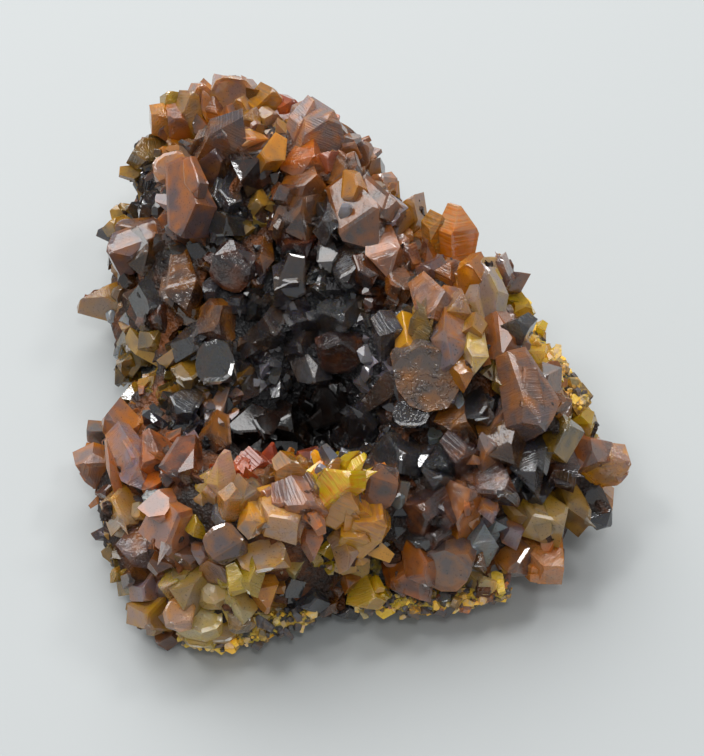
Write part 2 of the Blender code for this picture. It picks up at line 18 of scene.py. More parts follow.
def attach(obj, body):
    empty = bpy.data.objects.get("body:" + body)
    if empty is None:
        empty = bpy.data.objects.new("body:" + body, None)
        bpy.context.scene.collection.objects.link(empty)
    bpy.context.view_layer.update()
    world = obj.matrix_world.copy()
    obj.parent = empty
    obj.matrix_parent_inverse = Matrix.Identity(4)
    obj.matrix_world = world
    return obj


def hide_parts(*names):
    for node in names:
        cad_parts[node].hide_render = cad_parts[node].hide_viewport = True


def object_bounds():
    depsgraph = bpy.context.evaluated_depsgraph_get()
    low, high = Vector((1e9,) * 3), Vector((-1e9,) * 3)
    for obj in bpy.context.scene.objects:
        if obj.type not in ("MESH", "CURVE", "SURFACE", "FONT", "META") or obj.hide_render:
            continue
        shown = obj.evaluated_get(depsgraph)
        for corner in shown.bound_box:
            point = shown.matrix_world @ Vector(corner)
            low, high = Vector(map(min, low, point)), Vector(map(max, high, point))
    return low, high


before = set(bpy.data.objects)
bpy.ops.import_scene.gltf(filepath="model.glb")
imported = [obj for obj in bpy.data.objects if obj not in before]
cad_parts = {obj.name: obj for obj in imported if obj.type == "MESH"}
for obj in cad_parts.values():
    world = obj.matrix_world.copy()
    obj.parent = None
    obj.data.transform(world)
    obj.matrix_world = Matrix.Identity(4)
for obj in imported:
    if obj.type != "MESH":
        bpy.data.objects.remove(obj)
cad_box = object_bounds()


# The table and the light. The specimen lies on a plain pale table, under one large window behind it and to
# the left, and three small lamps whose light glints on the crystals. It is seen from the front, from above.
MM = 0.001
PHOTO_CENTRE = (352, 378)  # pixels, in a photograph of 704 by 756
PHOTO_TALL = 756
MM_PER_PIXEL = 0.2  # in the plane through SIGHT_CENTRE, square to the line of sight
SIGHT_ANGLE = math.radians(58)  # above the table
SIGHT_CENTRE = Vector((0, 0, 18 * MM))
EYE_DISTANCE = 420 * MM
TO_EYE = Vector((0, -math.cos(SIGHT_ANGLE), math.sin(SIGHT_ANGLE)))
PHOTO_RIGHT = Vector((1, 0, 0))
PHOTO_UP = Vector((0, math.sin(SIGHT_ANGLE), math.cos(SIGHT_ANGLE)))
EYE = SIGHT_CENTRE + EYE_DISTANCE * TO_EYE
SENSOR = 36
NEAREST_SEEN = 10 * MM
TABLE_WIDE = 4
WINDOW_PLACE = Vector((-0.3, 0.9, 1.1))
WINDOW_SIZE = (1.7, 1.2)
WINDOW_POWER = 22
LAMP_PLACES = (Vector((-0.35, 0.05, 0.75)), Vector((0.42, 0.30, 0.70)), Vector((0.05, -0.30, 0.90)))
LAMP_SIZE = (0.13, 0.13)
LAMP_POWER = 1.0
SKY_COLOUR = (0.93, 0.97, 1.0)
SKY_STRENGTH = 0.40


class Wire:
    """A node's socket that can be reckoned with: an expression on wires adds the nodes that work it out."""

    def __init__(self, socket):
        self.socket = socket

    def reckon(self, operation, *others, clamp=False):
        step = self.socket.id_data.nodes.new("ShaderNodeMath")
        step.operation = operation
        step.use_clamp = clamp
        for slot, value in zip(step.inputs, (self, *others)):
            plug(slot, value)
        return Wire(step.outputs[0])

    def __add__(self, other):
        return self.reckon("ADD", other)

    def __sub__(self, other):
        return self.reckon("SUBTRACT", other)

    def __rsub__(self, other):
        return self * -1 + other

    def __mul__(self, other):
        return self.reckon("MULTIPLY", other)

    def clamped(self):
        return self.reckon("ADD", 0, clamp=True)

    def above(self, edge, width):
        """0 under the edge and 1 over it, with a slope of this width between."""
        return ((self - edge) * (1 / width) + 0.5).clamped()

    __radd__ = __add__
    __rmul__ = __mul__


def plug(slot, value):
    if isinstance(value, Wire):
        slot.id_data.links.new(value.socket, slot)
    else:
        slot.default_value = value


class Finish:
    """A new material. Values that are the same all over are set on its shader when it is made."""

    def __init__(self, name, **fixed):
        self.material = bpy.data.materials.new(name)
        self.material.use_nodes = True
        self.tree = self.material.node_tree
        self.shader = self.tree.nodes["Principled BSDF"]
        for socket, value in fixed.items():
            self.shader.inputs[socket.replace("_", " ")].default_value = value

    def node(self, kind, settings, values, out=0):
        made = self.tree.nodes.new("ShaderNode" + kind)
        for name, value in settings.items():
            setattr(made, name, value)
        for name, value in values.items():
            plug(made.inputs[name], value)
        return Wire(made.outputs[out])

    def place(self):
        return self.node("TexCoord", {}, {}, "Object")

    def noise(self, size, detail=2, where=None):
        """Cloudy patches of about this size in metres, from 0 to 1."""
        values = {"Vector": where or self.place(), "Scale": 1 / size, "Detail": detail}
        return self.node("TexNoise", {}, values)

    def cells(self, size, out="Distance"):
        """Cells of about this size in metres: how far a point is from its cell's middle, or a colour each."""
        return self.node("TexVoronoi", {}, {"Vector": self.place(), "Scale": 1 / size}, out)

    def carried(self, name, out="Color"):
        """A colour or number that the mesh carries at each point."""
        return self.node("Attribute", {"attribute_name": name}, {}, out)

    def mix(self, share, first, second):
        """Two colours mixed: none of the second where the share is 0, and all of it where it is 1."""
        return self.node("Mix", {"data_type": "RGBA"}, {0: share, 6: first, 7: second}, 2)

    def parts(self, colour):
        """A colour's red, green and blue, as three numbers."""
        split = self.node("SeparateColor", {}, {"Color": colour}).socket.node
        return [Wire(part) for part in split.outputs]

    def set(self, **values):
        for name, value in values.items():
            plug(self.shader.inputs[name.replace("_", " ")], value)

    def bump(self, height, depth):
        """Raises the surface in shading alone, by this depth in metres where the height is 1."""
        self.set(Normal=self.node("Bump", {}, {"Height": height, "Distance": depth, "Strength": 1.0}))


camera = bpy.data.objects.new("camera", bpy.data.cameras.new("camera"))
bpy.context.collection.objects.link(camera)
camera.location = EYE
camera.rotation_euler = (math.pi / 2 - SIGHT_ANGLE, 0, 0)
camera.data.sensor_width = SENSOR
camera.data.lens = SENSOR * EYE_DISTANCE / (PHOTO_TALL * MM_PER_PIXEL * MM)
camera.data.clip_start = NEAREST_SEEN
bpy.context.scene.camera = camera
bpy.context.scene.view_settings.view_transform = "Standard"


def soft_light(name, place, size, power):
    """A flat lamp that shines at the specimen."""
    light = bpy.data.objects.new(name, bpy.data.lights.new(name, "AREA"))
    bpy.context.collection.objects.link(light)
    light.data.shape = "RECTANGLE"
    light.data.size, light.data.size_y = size
    light.data.energy = power
    light.location = place
    light.rotation_euler = (SIGHT_CENTRE - place).to_track_quat("-Z", "Y").to_euler()


soft_light("window", WINDOW_PLACE, WINDOW_SIZE, WINDOW_POWER)
for number, place in enumerate(LAMP_PLACES):
    soft_light(f"lamp_{number}", place, LAMP_SIZE, LAMP_POWER)

sky = bpy.data.worlds.new("sky")
sky.use_nodes = True
sky.node_tree.nodes["Background"].inputs["Color"].default_value = (*SKY_COLOUR, 1)
sky.node_tree.nodes["Background"].inputs["Strength"].default_value = SKY_STRENGTH
bpy.context.scene.world = sky

bpy.ops.object.select_all(action="DESELECT")
bpy.ops.mesh.primitive_plane_add(size=TABLE_WIDE)
table = bpy.context.object
table.name = "table"
painted = Finish("table_paint", Roughness=0.55)
shade = painted.noise(120 * MM)
painted.set(Base_Color=painted.mix(shade, (0.48, 0.50, 0.50, 1), (0.50, 0.52, 0.52, 1)))
table.data.materials.append(painted.material)


# The matrix: dark fine-grained rock with small glints, dusted yellow and yellow-green with powdered orpiment.
# It is one broken slab, flat underneath, and shows at the left notch and under the front edge.
ROCK_VOXEL = 0.8 * MM
ROCK_LUMPS = 4 * MM
ROCK_LUMP_DEPTH = 2.6 * MM
ROCK_GRAIN = 1.4 * MM
ROCK_GRAIN_DEPTH = 0.9 * MM
FOOT = 0.4 * MM  # points lower than this belong to the flat underside


def only(piece):
    """Selects one piece and makes it the one that operators act on."""
    bpy.ops.object.select_all(action="DESELECT")
    piece.select_set(True)
    bpy.context.view_layer.objects.active = piece


def copied(node, name):
    """A new piece that starts with a solid's shape, its triangles joined up."""
    piece = bpy.data.objects.new(name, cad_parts[node].data.copy())
    bpy.context.collection.objects.link(piece)
    piece.data.materials.clear()
    only(piece)
    bpy.ops.object.mode_set(mode="EDIT")
    bpy.ops.mesh.select_all(action="SELECT")
    bpy.ops.mesh.remove_doubles(threshold=MM / 1000)
    bpy.ops.object.mode_set(mode="OBJECT")
    return piece


def modified(piece, kind, **settings):
    """Adds a modifier and applies it."""
    only(piece)
    step = piece.modifiers.new("step", kind)
    for name, value in settings.items():
        setattr(step, name, value)
    bpy.ops.object.modifier_apply(modifier=step.name)


def roughened(piece, kind, size, depth, group=""):
    """Wears the surface in by up to a depth, in a pattern of this size."""
    pattern = bpy.data.textures.new("pattern", kind)
    pattern.noise_scale = size
    modified(piece, "DISPLACE", texture=pattern, strength=depth, mid_level=1, vertex_group=group)
    bpy.data.textures.remove(pattern)


def finished(piece, slot, *materials, node=None):
    """Gives a piece its materials and its place in the frame."""
    for material in materials:
        piece.data.materials.append(material)
    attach(piece, "root")
    if node:
        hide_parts(node)


def rock_finish():
    """Dark grains, some of them shiny, under patches of yellow dust."""
    stone = Finish("dark_rock", IOR=1.6)
    speck = stone.parts(stone.cells(0.9 * MM, "Color"))[0]
    dark = stone.mix(speck, (0.018, 0.019, 0.018, 1), (0.085, 0.085, 0.078, 1))
    dust = (stone.noise(7 * MM, 4) + stone.noise(1.2 * MM) * 0.5).above(0.86, 0.16)
    powder = stone.mix(stone.noise(3 * MM), (0.30, 0.22, 0.03, 1), (0.58, 0.42, 0.04, 1))
    stone.set(Base_Color=stone.mix(dust, dark, powder), Roughness=0.45 + dust * 0.45 + speck * -0.25)
    stone.bump(stone.cells(0.7 * MM) + stone.noise(0.3 * MM), 0.25 * MM)
    return stone.material


rock = copied("matrix", "matrix_rock")
modified(rock, "REMESH", mode="VOXEL", voxel_size=ROCK_VOXEL)
above_foot = rock.vertex_groups.new(name="above_foot")
above_foot.add([point.index for point in rock.data.vertices if point.co.z > FOOT], 1, "REPLACE")
roughened(rock, "VORONOI", ROCK_LUMPS, ROCK_LUMP_DEPTH, "above_foot")
roughened(rock, "VORONOI", ROCK_GRAIN, ROCK_GRAIN_DEPTH, "above_foot")
finished(rock, "matrix_rock", rock_finish(), node="matrix")


# The ground of the crust and of the druse: what lies between the crystals, a mass of crystals too fine to
# tell apart. It follows the solids a little way under their surface, so that every crystal stands in it. The
# crust's ground is near-black: its own dark colour, darkened further as painted shade in the gaps between
# crystals.
GROUND_VOXEL = 0.9 * MM
GROUND_DEPTH = 2.0 * MM
GROUND_GRAIN = 1.6 * MM
GROUND_GRAIN_DEPTH = 0.8 * MM
LIGHT_GRAINS = 0.4  # how much of a ground is light


def ground_finish(name, dark, light, spread):
    """Dark grains with patches of light ones, which take up more or less of it by their spread. In the
    crust's ground the dark is also painted shade between the crystals.
    """
    ground = Finish(name, IOR=1.5)
    cell = ground.parts(ground.cells(0.8 * MM, "Color"))[0]
    patch = ground.noise(9 * MM, 2)
    share = (cell * 0.5 + patch.above(1 - spread, 0.3)).clamped() * patch.above(0.9 - spread, 0.3)
    ground.set(Base_Color=ground.mix(share, (*dark, 1), (*light, 1)), Roughness=0.3 + cell * 0.4)
    ground.bump(ground.cells(0.55 * MM) + ground.cells(1.1 * MM), 0.3 * MM)
    return ground.material


def grounded(node, name, slot, material):
    """A node's ground, in its place."""
    ground = copied(node, name)
    modified(ground, "REMESH", mode="VOXEL", voxel_size=GROUND_VOXEL)
    modified(ground, "DISPLACE", strength=-GROUND_DEPTH, mid_level=0)
    roughened(ground, "VORONOI", GROUND_GRAIN, GROUND_GRAIN_DEPTH)
    finished(ground, slot, material, node=node)
    return ground


# The crust ground's near-black grains are partly painted shade for the gaps between the crystals.
rust_and_gap_shade = ground_finish("crust_ground", (0.012, 0.007, 0.005), (0.20, 0.055, 0.005), LIGHT_GRAINS)
sooty = ground_finish("druse_ground", (0.004, 0.004, 0.005), (0.030, 0.028, 0.030), LIGHT_GRAINS)
crust_ground = grounded("crystal_crust", "crust_ground", "orpiment_crystal", rust_and_gap_shade)
druse_ground = grounded("dark_druse", "druse_ground", "druse_crystal", sooty)


# The crystals that can be told apart in the photograph, one by one. Orpiment grows in stubby blocks, wedges,
# spears and flattened shields, with shining faces, brown-mauve outside and orange within.
#
# A row says where a crystal is in the photograph, across and down in pixels, how wide and how long it is in
# millimetres, its habit, which way its tip points, in degrees round from the right, how far the tip rises
# towards the eye, in degrees, and its tint.
Crystal = namedtuple("Crystal", "across down wide long habit aim rise tint")
THICKNESS = {"block": 0.8, "spear": 0.75, "shield": 0.42, "wedge": 0.7}
ROOT_SHARE = 0.55  # of the length that shows, sunk in the crust
ROOT_TAPER = 0.45  # how wide a root's end is, of the crystal's width

# A tint is the colour of the body, the colour of the inside, how much of the inside shows, and the roughness.
Tint = namedtuple("Tint", "body inner warmth satin")
TINTS = {
    # Pale grey: partly the crystals' own grey, and partly a painted glint of reflected light.
    "silver": Tint((0.34, 0.34, 0.37), (0.25, 0.17, 0.09), 0.15, 0.08),
    "lilac": Tint((0.34, 0.245, 0.240), (0.72, 0.27, 0.040), 0.55, 0.17),
    "mauve": Tint((0.175, 0.115, 0.108), (0.50, 0.17, 0.025), 0.55, 0.17),
    "rose": Tint((0.31, 0.170, 0.130), (0.74, 0.23, 0.020), 0.7, 0.20),
    "warm": Tint((0.42, 0.255, 0.190), (0.95, 0.37, 0.015), 0.75, 0.16),
    "plum": Tint((0.060, 0.032, 0.030), (0.30, 0.075, 0.012), 0.5, 0.16),
    "slate": Tint((0.060, 0.056, 0.061), (0.11, 0.058, 0.028), 0.3, 0.10),
    "umber": Tint((0.100, 0.052, 0.032), (0.40, 0.135, 0.012), 0.65, 0.19),
    "rust": Tint((0.22, 0.090, 0.050), (0.68, 0.19, 0.012), 0.75, 0.18),
    "amber": Tint((0.55, 0.235, 0.050), (0.98, 0.38, 0.008), 0.75, 0.13),
    "orange": Tint((0.80, 0.36, 0.130), (1.0, 0.28, 0.008), 0.6, 0.12),
    "red": Tint((0.45, 0.110, 0.050), (0.85, 0.16, 0.008), 0.75, 0.15),
    "peach": Tint((0.68, 0.43, 0.27), (1.0, 0.46, 0.035), 0.65, 0.19),
    "straw": Tint((0.78, 0.56, 0.27), (1.0, 0.60, 0.050), 0.7, 0.20),
    "olive": Tint((0.26, 0.160, 0.045), (0.74, 0.38, 0.020), 0.65, 0.20),
    "yellow": Tint((0.90, 0.52, 0.030), (0.98, 0.60, 0.012), 0.8, 0.20),
    "golden": Tint((1.0, 0.62, 0.010), (1.0, 0.26, 0.003), 0.40, 0.10),
    "petal": Tint((0.50, 0.34, 0.27), (0.78, 0.47, 0.060), 0.6, 0.14),
    # Near-black: the druse's own dark colour, darkened further as painted shade deep in the hollow.
    "soot": Tint((0.008, 0.006, 0.006), (0.03, 0.010, 0.004), 0.3, 0.15),
}

NORTH = [
    (232, 92, 9.4, 9.0, "shield", 80, 30, "warm"),
    (202, 96, 5.6, 7.6, "block", 100, 35, "warm"),
    (172, 99, 4.6, 5.2, "block", 130, 30, "yellow"),
    (175, 120, 7.2, 7.2, "block", 150, 50, "rose"),
    (172, 145, 6.0, 5.0, "block", 200, 60, "amber"),
    (171, 168, 8.0, 6.4, "shield", 290, 10, "lilac"),
    (142, 151, 5.6, 6.5, "block", 190, 40, "olive"),
    (149, 181, 4.6, 5.0, "block", 200, 50, "slate"),
    (191, 212, 8.6, 9.4, "block", 285, 12, "mauve"),
    (226, 134, 8.6, 9.6, "wedge", 50, 45, "mauve"),
    (246, 168, 9.6, 8.0, "wedge", 245, 60, "plum"),
    (288, 108, 6.0, 6.6, "block", 80, 40, "red"),
    (316, 134, 11.0, 13.0, "block", 65, 18, "lilac"),
    (302, 166, 8.6, 5.4, "wedge", 260, 60, "rust"),
    (341, 134, 3.6, 5.0, "block", 90, 25, "mauve"),
    (361, 157, 4.4, 6.0, "shield", 80, 30, "mauve"),
    (344, 178, 7.0, 5.6, "wedge", 300, 50, "umber"),
    (303, 188, 9.4, 5.6, "wedge", 270, 55, "rust"),
    (293, 220, 11.0, 8.0, "wedge", 215, 60, "mauve"),
    (333, 225, 6.6, 7.6, "block", 270, 70, "slate"),
    (367, 226, 10.6, 10.6, "wedge", 300, 50, "mauve"),
    (384, 208, 6.6, 10.0, "shield", 320, 40, "lilac"),
    (384, 184, 6.0, 5.6, "block", 60, 45, "rose"),
    (414, 214, 5.6, 8.6, "block", 70, 35, "peach"),
    (386, 256, 7.6, 8.6, "wedge", 280, 50, "rust"),
    (226, 199, 5.4, 6.0, "block", 260, 65, "slate"),
    (229, 229, 6.2, 6.0, "wedge", 320, 50, "slate"),
    (125, 250, 7.6, 9.6, "block", 215, 35, "lilac"),
    (141, 264, 7.6, 7.0, "wedge", 270, 60, "umber"),
    (119, 226, 4.6, 6.0, "block", 160, 40, "olive"),
    (105, 300, 8.0, 10.0, "spear", 180, 30, "peach"),
    (147, 300, 8.0, 7.4, "block", 250, 60, "slate"),
    (184, 291, 7.2, 8.4, "wedge", 280, 60, "umber"),
    (158, 326, 10.0, 6.6, "block", 200, 65, "plum"),
]
EAST = [
    (481, 303, 8.6, 16.0, "spear", 86, 12, "petal"),
    (438, 308, 7.6, 7.0, "block", 300, 60, "rose"),
    (452, 340, 6.8, 10.0, "wedge", 270, 50, "lilac"),
    (475, 358, 5.0, 6.4, "wedge", 268, 40, "petal"),
    (424, 322, 5.2, 11.0, "block", 80, 50, "olive"),
    (501, 275, 5.6, 8.0, "block", 70, 35, "mauve"),
    (505, 346, 8.0, 9.0, "block", 290, 50, "rose"),
    (534, 356, 5.6, 4.8, "wedge", 20, 40, "yellow"),
    (428, 376, 13.6, 12.4, "shield", 90, 10, "mauve"),
    (411, 416, 7.4, 5.8, "shield", 268, 24, "slate"),
    (534, 411, 9.4, 10.0, "block", 290, 12, "mauve"),
    (540, 378, 8.0, 7.0, "block", 40, 50, "umber"),
    (587, 426, 5.6, 4.8, "block", 20, 45, "yellow"),
    (563, 438, 9.0, 6.0, "block", 10, 55, "olive"),
    (588, 458, 9.0, 8.6, "block", 330, 55, "rose"),
    (613, 464, 6.0, 9.0, "block", 20, 30, "warm"),
    (564, 473, 6.0, 6.6, "block", 300, 60, "plum"),
    (597, 506, 5.2, 8.0, "shield", 285, 25, "slate"),
    (573, 511, 6.0, 9.0, "block", 290, 45, "olive"),
    (545, 522, 8.6, 9.0, "block", 310, 50, "straw"),
    (530, 468, 7.0, 10.0, "wedge", 285, 50, "slate"),
    (508, 448, 8.6, 7.6, "wedge", 300, 55, "umber"),
    (465, 452, 7.4, 7.6, "block", 90, 65, "plum"),
    (440, 463, 6.8, 6.2, "block", 100, 65, "slate"),
    (403, 455, 9.6, 6.6, "block", 30, 65, "slate"),
    (498, 488, 7.6, 8.0, "block", 292, 56, "plum"),
    (460, 506, 7.6, 9.0, "block", 100, 60, "rust"),
    (424, 508, 8.6, 8.0, "block", 80, 60, "plum"),
    (483, 538, 6.8, 6.6, "wedge", 80, 50, "silver"),
    (447, 566, 10.0, 9.6, "shield", 80, 45, "mauve"),
    (520, 562, 7.8, 5.2, "block", 300, 45, "mauve"),
    (551, 560, 8.4, 8.6, "block", 320, 35, "orange"),
    (424, 543, 8.0, 5.6, "block", 250, 60, "slate"),
    (413, 578, 8.2, 9.0, "wedge", 290, 50, "rust"),
    (478, 584, 8.4, 5.8, "wedge", 274, 42, "straw"),
]
FRONT = [
    (95, 467, 7.6, 9.8, "block", 172, 25, "rose"),
    (136, 473, 8.2, 9.4, "wedge", 300, 50, "lilac"),
    (121, 426, 7.0, 9.0, "block", 105, 45, "rose"),
    (98, 432, 4.8, 5.2, "block", 140, 35, "lilac"),
    (156, 456, 8.4, 7.2, "block", 70, 65, "rust"),
    (180, 474, 7.6, 6.8, "block", 260, 65, "plum"),
    (218, 484, 6.4, 10.4, "spear", 88, 40, "peach"),
    (247, 492, 6.8, 7.0, "wedge", 100, 55, "peach"),
    (382, 489, 6.4, 7.4, "shield", 70, 20, "mauve"),
    (303, 502, 8.8, 7.6, "block", 70, 65, "rose"),
    (282, 523, 7.6, 7.0, "block", 310, 55, "peach"),
    (346, 546, 6.0, 9.0, "wedge", 270, 45, "peach"),
    (262, 556, 9.8, 8.2, "shield", 280, 30, "peach"),
    (223, 543, 7.6, 6.6, "shield", 300, 15, "mauve"),
    (169, 527, 12.0, 9.0, "block", 200, 45, "rose"),
    (119, 512, 8.0, 7.8, "block", 240, 50, "peach"),
    (135, 555, 7.4, 6.4, "block", 250, 50, "mauve"),
    (182, 558, 8.8, 5.8, "block", 280, 55, "rose"),
    (186, 588, 9.4, 9.2, "wedge", 260, 45, "straw"),
    (151, 620, 8.6, 7.0, "block", 230, 35, "peach"),
    (200, 616, 9.0, 8.0, "shield", 260, 30, "straw"),
    (236, 603, 6.4, 9.4, "block", 268, 40, "straw"),
    (262, 590, 6.2, 7.4, "wedge", 290, 45, "amber"),
]
DRUSE = [
    (298, 248, 7.4, 5.8, "wedge", 300, 60, "plum"),
    (365, 418, 6.6, 6.2, "block", 80, 65, "slate"),
    (270, 330, 6.4, 6.0, "block", 250, 65, "slate"),
    (215, 364, 8.2, 9.6, "shield", 270, 15, "slate"),
    (192, 348, 7.2, 6.4, "block", 250, 65, "slate"),
    (232, 269, 9.0, 8.2, "shield", 58, 52, "plum"),
    (281, 286, 8.2, 7.4, "wedge", 230, 60, "slate"),
    (339, 311, 8.6, 7.2, "block", 60, 75, "slate"),
    (354, 274, 7.6, 6.2, "block", 290, 60, "slate"),
    (383, 277, 7.6, 6.0, "wedge", 310, 55, "plum"),
    (393, 330, 7.4, 7.2, "block", 80, 70, "slate"),
    (341, 354, 9.8, 7.2, "shield", 90, 40, "plum"),
    (312, 372, 5.8, 8.0, "block", 305, 50, "slate"),
    # The next three lie deep in the hollow, and their near-black is partly painted shade.
    (336, 394, 7.4, 7.2, "block", 50, 60, "soot"),
    (284, 423, 7.4, 6.4, "wedge", 320, 55, "soot"),
    (243, 435, 6.8, 5.8, "block", 240, 55, "soot"),
    (213, 442, 5.8, 5.4, "block", 260, 55, "umber"),
    (184, 380, 6.0, 6.2, "block", 230, 60, "olive"),
    (214, 324, 8.4, 6.4, "block", 200, 75, "umber"),
    (300, 320, 6.0, 5.6, "block", 100, 70, "slate"),
    (300, 345, 6.2, 6.0, "block", 200, 65, "slate"),
]
# The clearest ones, amber to golden yellow.
CLEAR = [
    (438, 236, 5.6, 9.6, "block", 85, 30, "amber"),
    (458, 232, 7.6, 9.6, "wedge", 90, 30, "orange"),
    (291, 472, 7.0, 7.6, "block", 85, 35, "amber"),
    (342, 479, 7.4, 6.6, "block", 50, 30, "golden"),
    (328, 474, 3.4, 6.0, "spear", 65, 30, "amber"),
    (352, 472, 3.6, 7.0, "spear", 45, 25, "golden"),
    (364, 480, 4.0, 6.4, "wedge", 30, 30, "golden"),
    (346, 497, 6.0, 6.0, "block", 60, 50, "amber"),
    (371, 522, 7.4, 6.6, "block", 60, 45, "amber"),
    (252, 140, 7.0, 4.0, "block", 90, 60, "orange"),
    (418, 235, 5.0, 5.0, "wedge", 60, 40, "orange"),
    (263, 102, 6.6, 7.2, "block", 85, 35, "amber"),
]

# Smaller crystals, which stand on the larger ones and between them.
SMALL = [
    (150, 205, 5.0, 5.0, "block", 200, 50, "slate"),
    (213, 160, 5.5, 7.0, "block", 80, 50, "mauve"),
    (252, 120, 4.0, 4.0, "wedge", 90, 50, "peach"),
    (270, 118, 4.5, 4.5, "block", 80, 50, "peach"),
    (350, 150, 5.0, 5.0, "block", 60, 40, "rose"),
    (345, 212, 2.5, 3.0, "shield", 60, 40, "silver"),
    (410, 262, 4.0, 7.0, "block", 80, 40, "rust"),
    (430, 270, 5.0, 5.0, "block", 80, 50, "mauve"),
    (447, 275, 5.0, 5.0, "wedge", 80, 50, "rust"),
    (475, 272, 6.0, 6.0, "block", 80, 50, "amber"),
    (495, 278, 2.5, 3.0, "block", 80, 50, "yellow"),
    (522, 330, 5.5, 5.0, "block", 10, 50, "slate"),
    (540, 330, 3.0, 3.0, "block", 10, 40, "yellow"),
    (490, 370, 5.0, 5.0, "wedge", 280, 50, "straw"),
    (503, 385, 4.0, 4.0, "block", 280, 50, "olive"),
    (390, 400, 3.5, 3.5, "block", 200, 60, "slate"),
    (460, 405, 2.4, 4.0, "wedge", 280, 50, "silver"),
    (540, 495, 6.0, 6.0, "block", 290, 50, "slate"),
    (489, 450, 4.5, 6.0, "block", 80, 50, "lilac"),
    (437, 480, 5.0, 5.0, "block", 100, 60, "slate"),
    (488, 508, 3.5, 5.0, "block", 290, 50, "lilac"),
    (475, 560, 4.5, 4.5, "block", 280, 50, "umber"),
    (515, 530, 5.5, 6.0, "block", 300, 60, "lilac"),
    (445, 597, 2.5, 2.5, "shield", 280, 50, "silver"),
    (112, 465, 2.5, 9.0, "spear", 100, 40, "orange"),
    (192, 440, 3.0, 3.0, "block", 80, 50, "lilac"),
    (252, 465, 6.0, 5.0, "block", 80, 50, "red"),
    (365, 470, 3.0, 6.0, "block", 80, 40, "mauve"),
    (397, 503, 2.5, 3.5, "shield", 60, 50, "silver"),
    (267, 494, 2.5, 2.5, "block", 80, 50, "lilac"),
    (355, 507, 5.0, 5.0, "wedge", 60, 50, "slate"),
    (322, 547, 4.5, 4.5, "block", 280, 40, "yellow"),
    (312, 540, 4.0, 7.0, "wedge", 280, 40, "rose"),
    (255, 522, 5.5, 5.0, "block", 280, 60, "warm"),
    (220, 517, 3.0, 4.0, "block", 280, 60, "silver"),
    (222, 565, 6.5, 5.0, "wedge", 20, 50, "lilac"),
    (195, 525, 4.0, 6.0, "block", 280, 50, "yellow"),
    (150, 500, 3.0, 3.0, "wedge", 250, 50, "silver"),
    (130, 580, 6.0, 6.0, "block", 240, 40, "olive"),
    (148, 590, 6.0, 6.0, "block", 240, 40, "lilac"),
    (295, 565, 4.0, 5.0, "block", 280, 40, "straw"),
    (168, 640, 4.0, 4.0, "block", 250, 30, "rose"),
    (260, 613, 4.0, 4.0, "block", 280, 40, "straw"),
    (115, 316, 3.0, 3.0, "shield", 200, 40, "silver"),
    (155, 345, 7.0, 5.0, "block", 220, 60, "olive"),
    (215, 415, 3.5, 6.0, "block", 250, 50, "lilac"),
    (180, 410, 6.0, 5.0, "block", 230, 60, "slate"),
    (210, 290, 3.5, 5.0, "block", 230, 60, "slate"),
    (238, 305, 4.0, 4.0, "block", 230, 60, "slate"),
    (260, 205, 4.0, 4.0, "block", 270, 60, "olive"),
    (265, 260, 3.5, 6.0, "wedge", 270, 60, "umber"),
    (265, 367, 2.4, 4.5, "wedge", 250, 60, "silver"),
    (248, 390, 4.5, 5.0, "wedge", 250, 40, "slate"),
    (250, 345, 4.0, 6.0, "block", 250, 60, "slate"),
    (308, 400, 3.5, 5.5, "block", 300, 50, "soot"),
    (370, 370, 3.0, 3.0, "wedge", 60, 60, "silver"),
    (455, 425, 7.0, 6.0, "block", 260, 60, "umber"),
    (480, 415, 7.0, 6.0, "block", 280, 60, "slate"),
    (435, 435, 3.0, 3.0, "shield", 280, 60, "silver"),
    (345, 455, 2.5, 2.5, "shield", 60, 60, "silver"),
    (320, 470, 2.0, 2.0, "shield", 60, 60, "silver"),
    (137, 578, 5.0, 5.0, "block", 240, 50, "umber"),
    (160, 120, 6.0, 6.0, "block", 150, 40, "amber"),
    (187, 106, 5.0, 6.0, "block", 110, 35, "warm"),
    (214, 112, 5.5, 6.0, "wedge", 90, 40, "rust"),
    (246, 108, 5.0, 5.0, "block", 80, 40, "warm"),
    (330, 160, 5.0, 5.0, "wedge", 60, 40, "red"),
    (270, 160, 5.5, 5.0, "block", 250, 50, "amber"),
    (355, 195, 5.0, 5.0, "wedge", 280, 40, "warm"),
    (330, 262, 5.0, 5.0, "wedge", 280, 50, "slate"),
    (402, 292, 6.0, 6.0, "wedge", 290, 45, "umber"),
    (410, 345, 5.0, 6.0, "block", 280, 50, "amber"),
    (458, 312, 6.0, 7.0, "wedge", 80, 40, "peach"),
    (462, 375, 5.0, 6.0, "wedge", 280, 40, "amber"),
    (520, 310, 5.0, 6.0, "block", 60, 40, "yellow"),
    (512, 300, 4.0, 4.0, "block", 30, 40, "yellow"),
    (215, 590, 6.5, 6.0, "shield", 270, 35, "straw"),
    (180, 612, 6.0, 6.0, "shield", 250, 30, "peach"),
    (222, 628, 6.5, 5.5, "shield", 270, 25, "straw"),
    (250, 578, 5.5, 6.0, "wedge", 280, 40, "yellow"),
    (200, 642, 6.0, 5.0, "shield", 260, 25, "straw"),
    (240, 622, 5.0, 5.0, "shield", 280, 30, "olive"),
    (228, 572, 5.0, 5.0, "shield", 270, 40, "yellow"),
    (272, 604, 5.0, 4.0, "block", 280, 30, "olive"),
    (290, 585, 5.0, 5.0, "block", 290, 40, "slate"),
    (310, 600, 6.0, 5.0, "block", 280, 30, "slate"),
    (335, 590, 6.0, 5.0, "wedge", 280, 40, "umber"),
    (365, 600, 7.0, 4.0, "block", 280, 30, "yellow"),
    (345, 610, 5.0, 4.0, "block", 280, 30, "slate"),
]

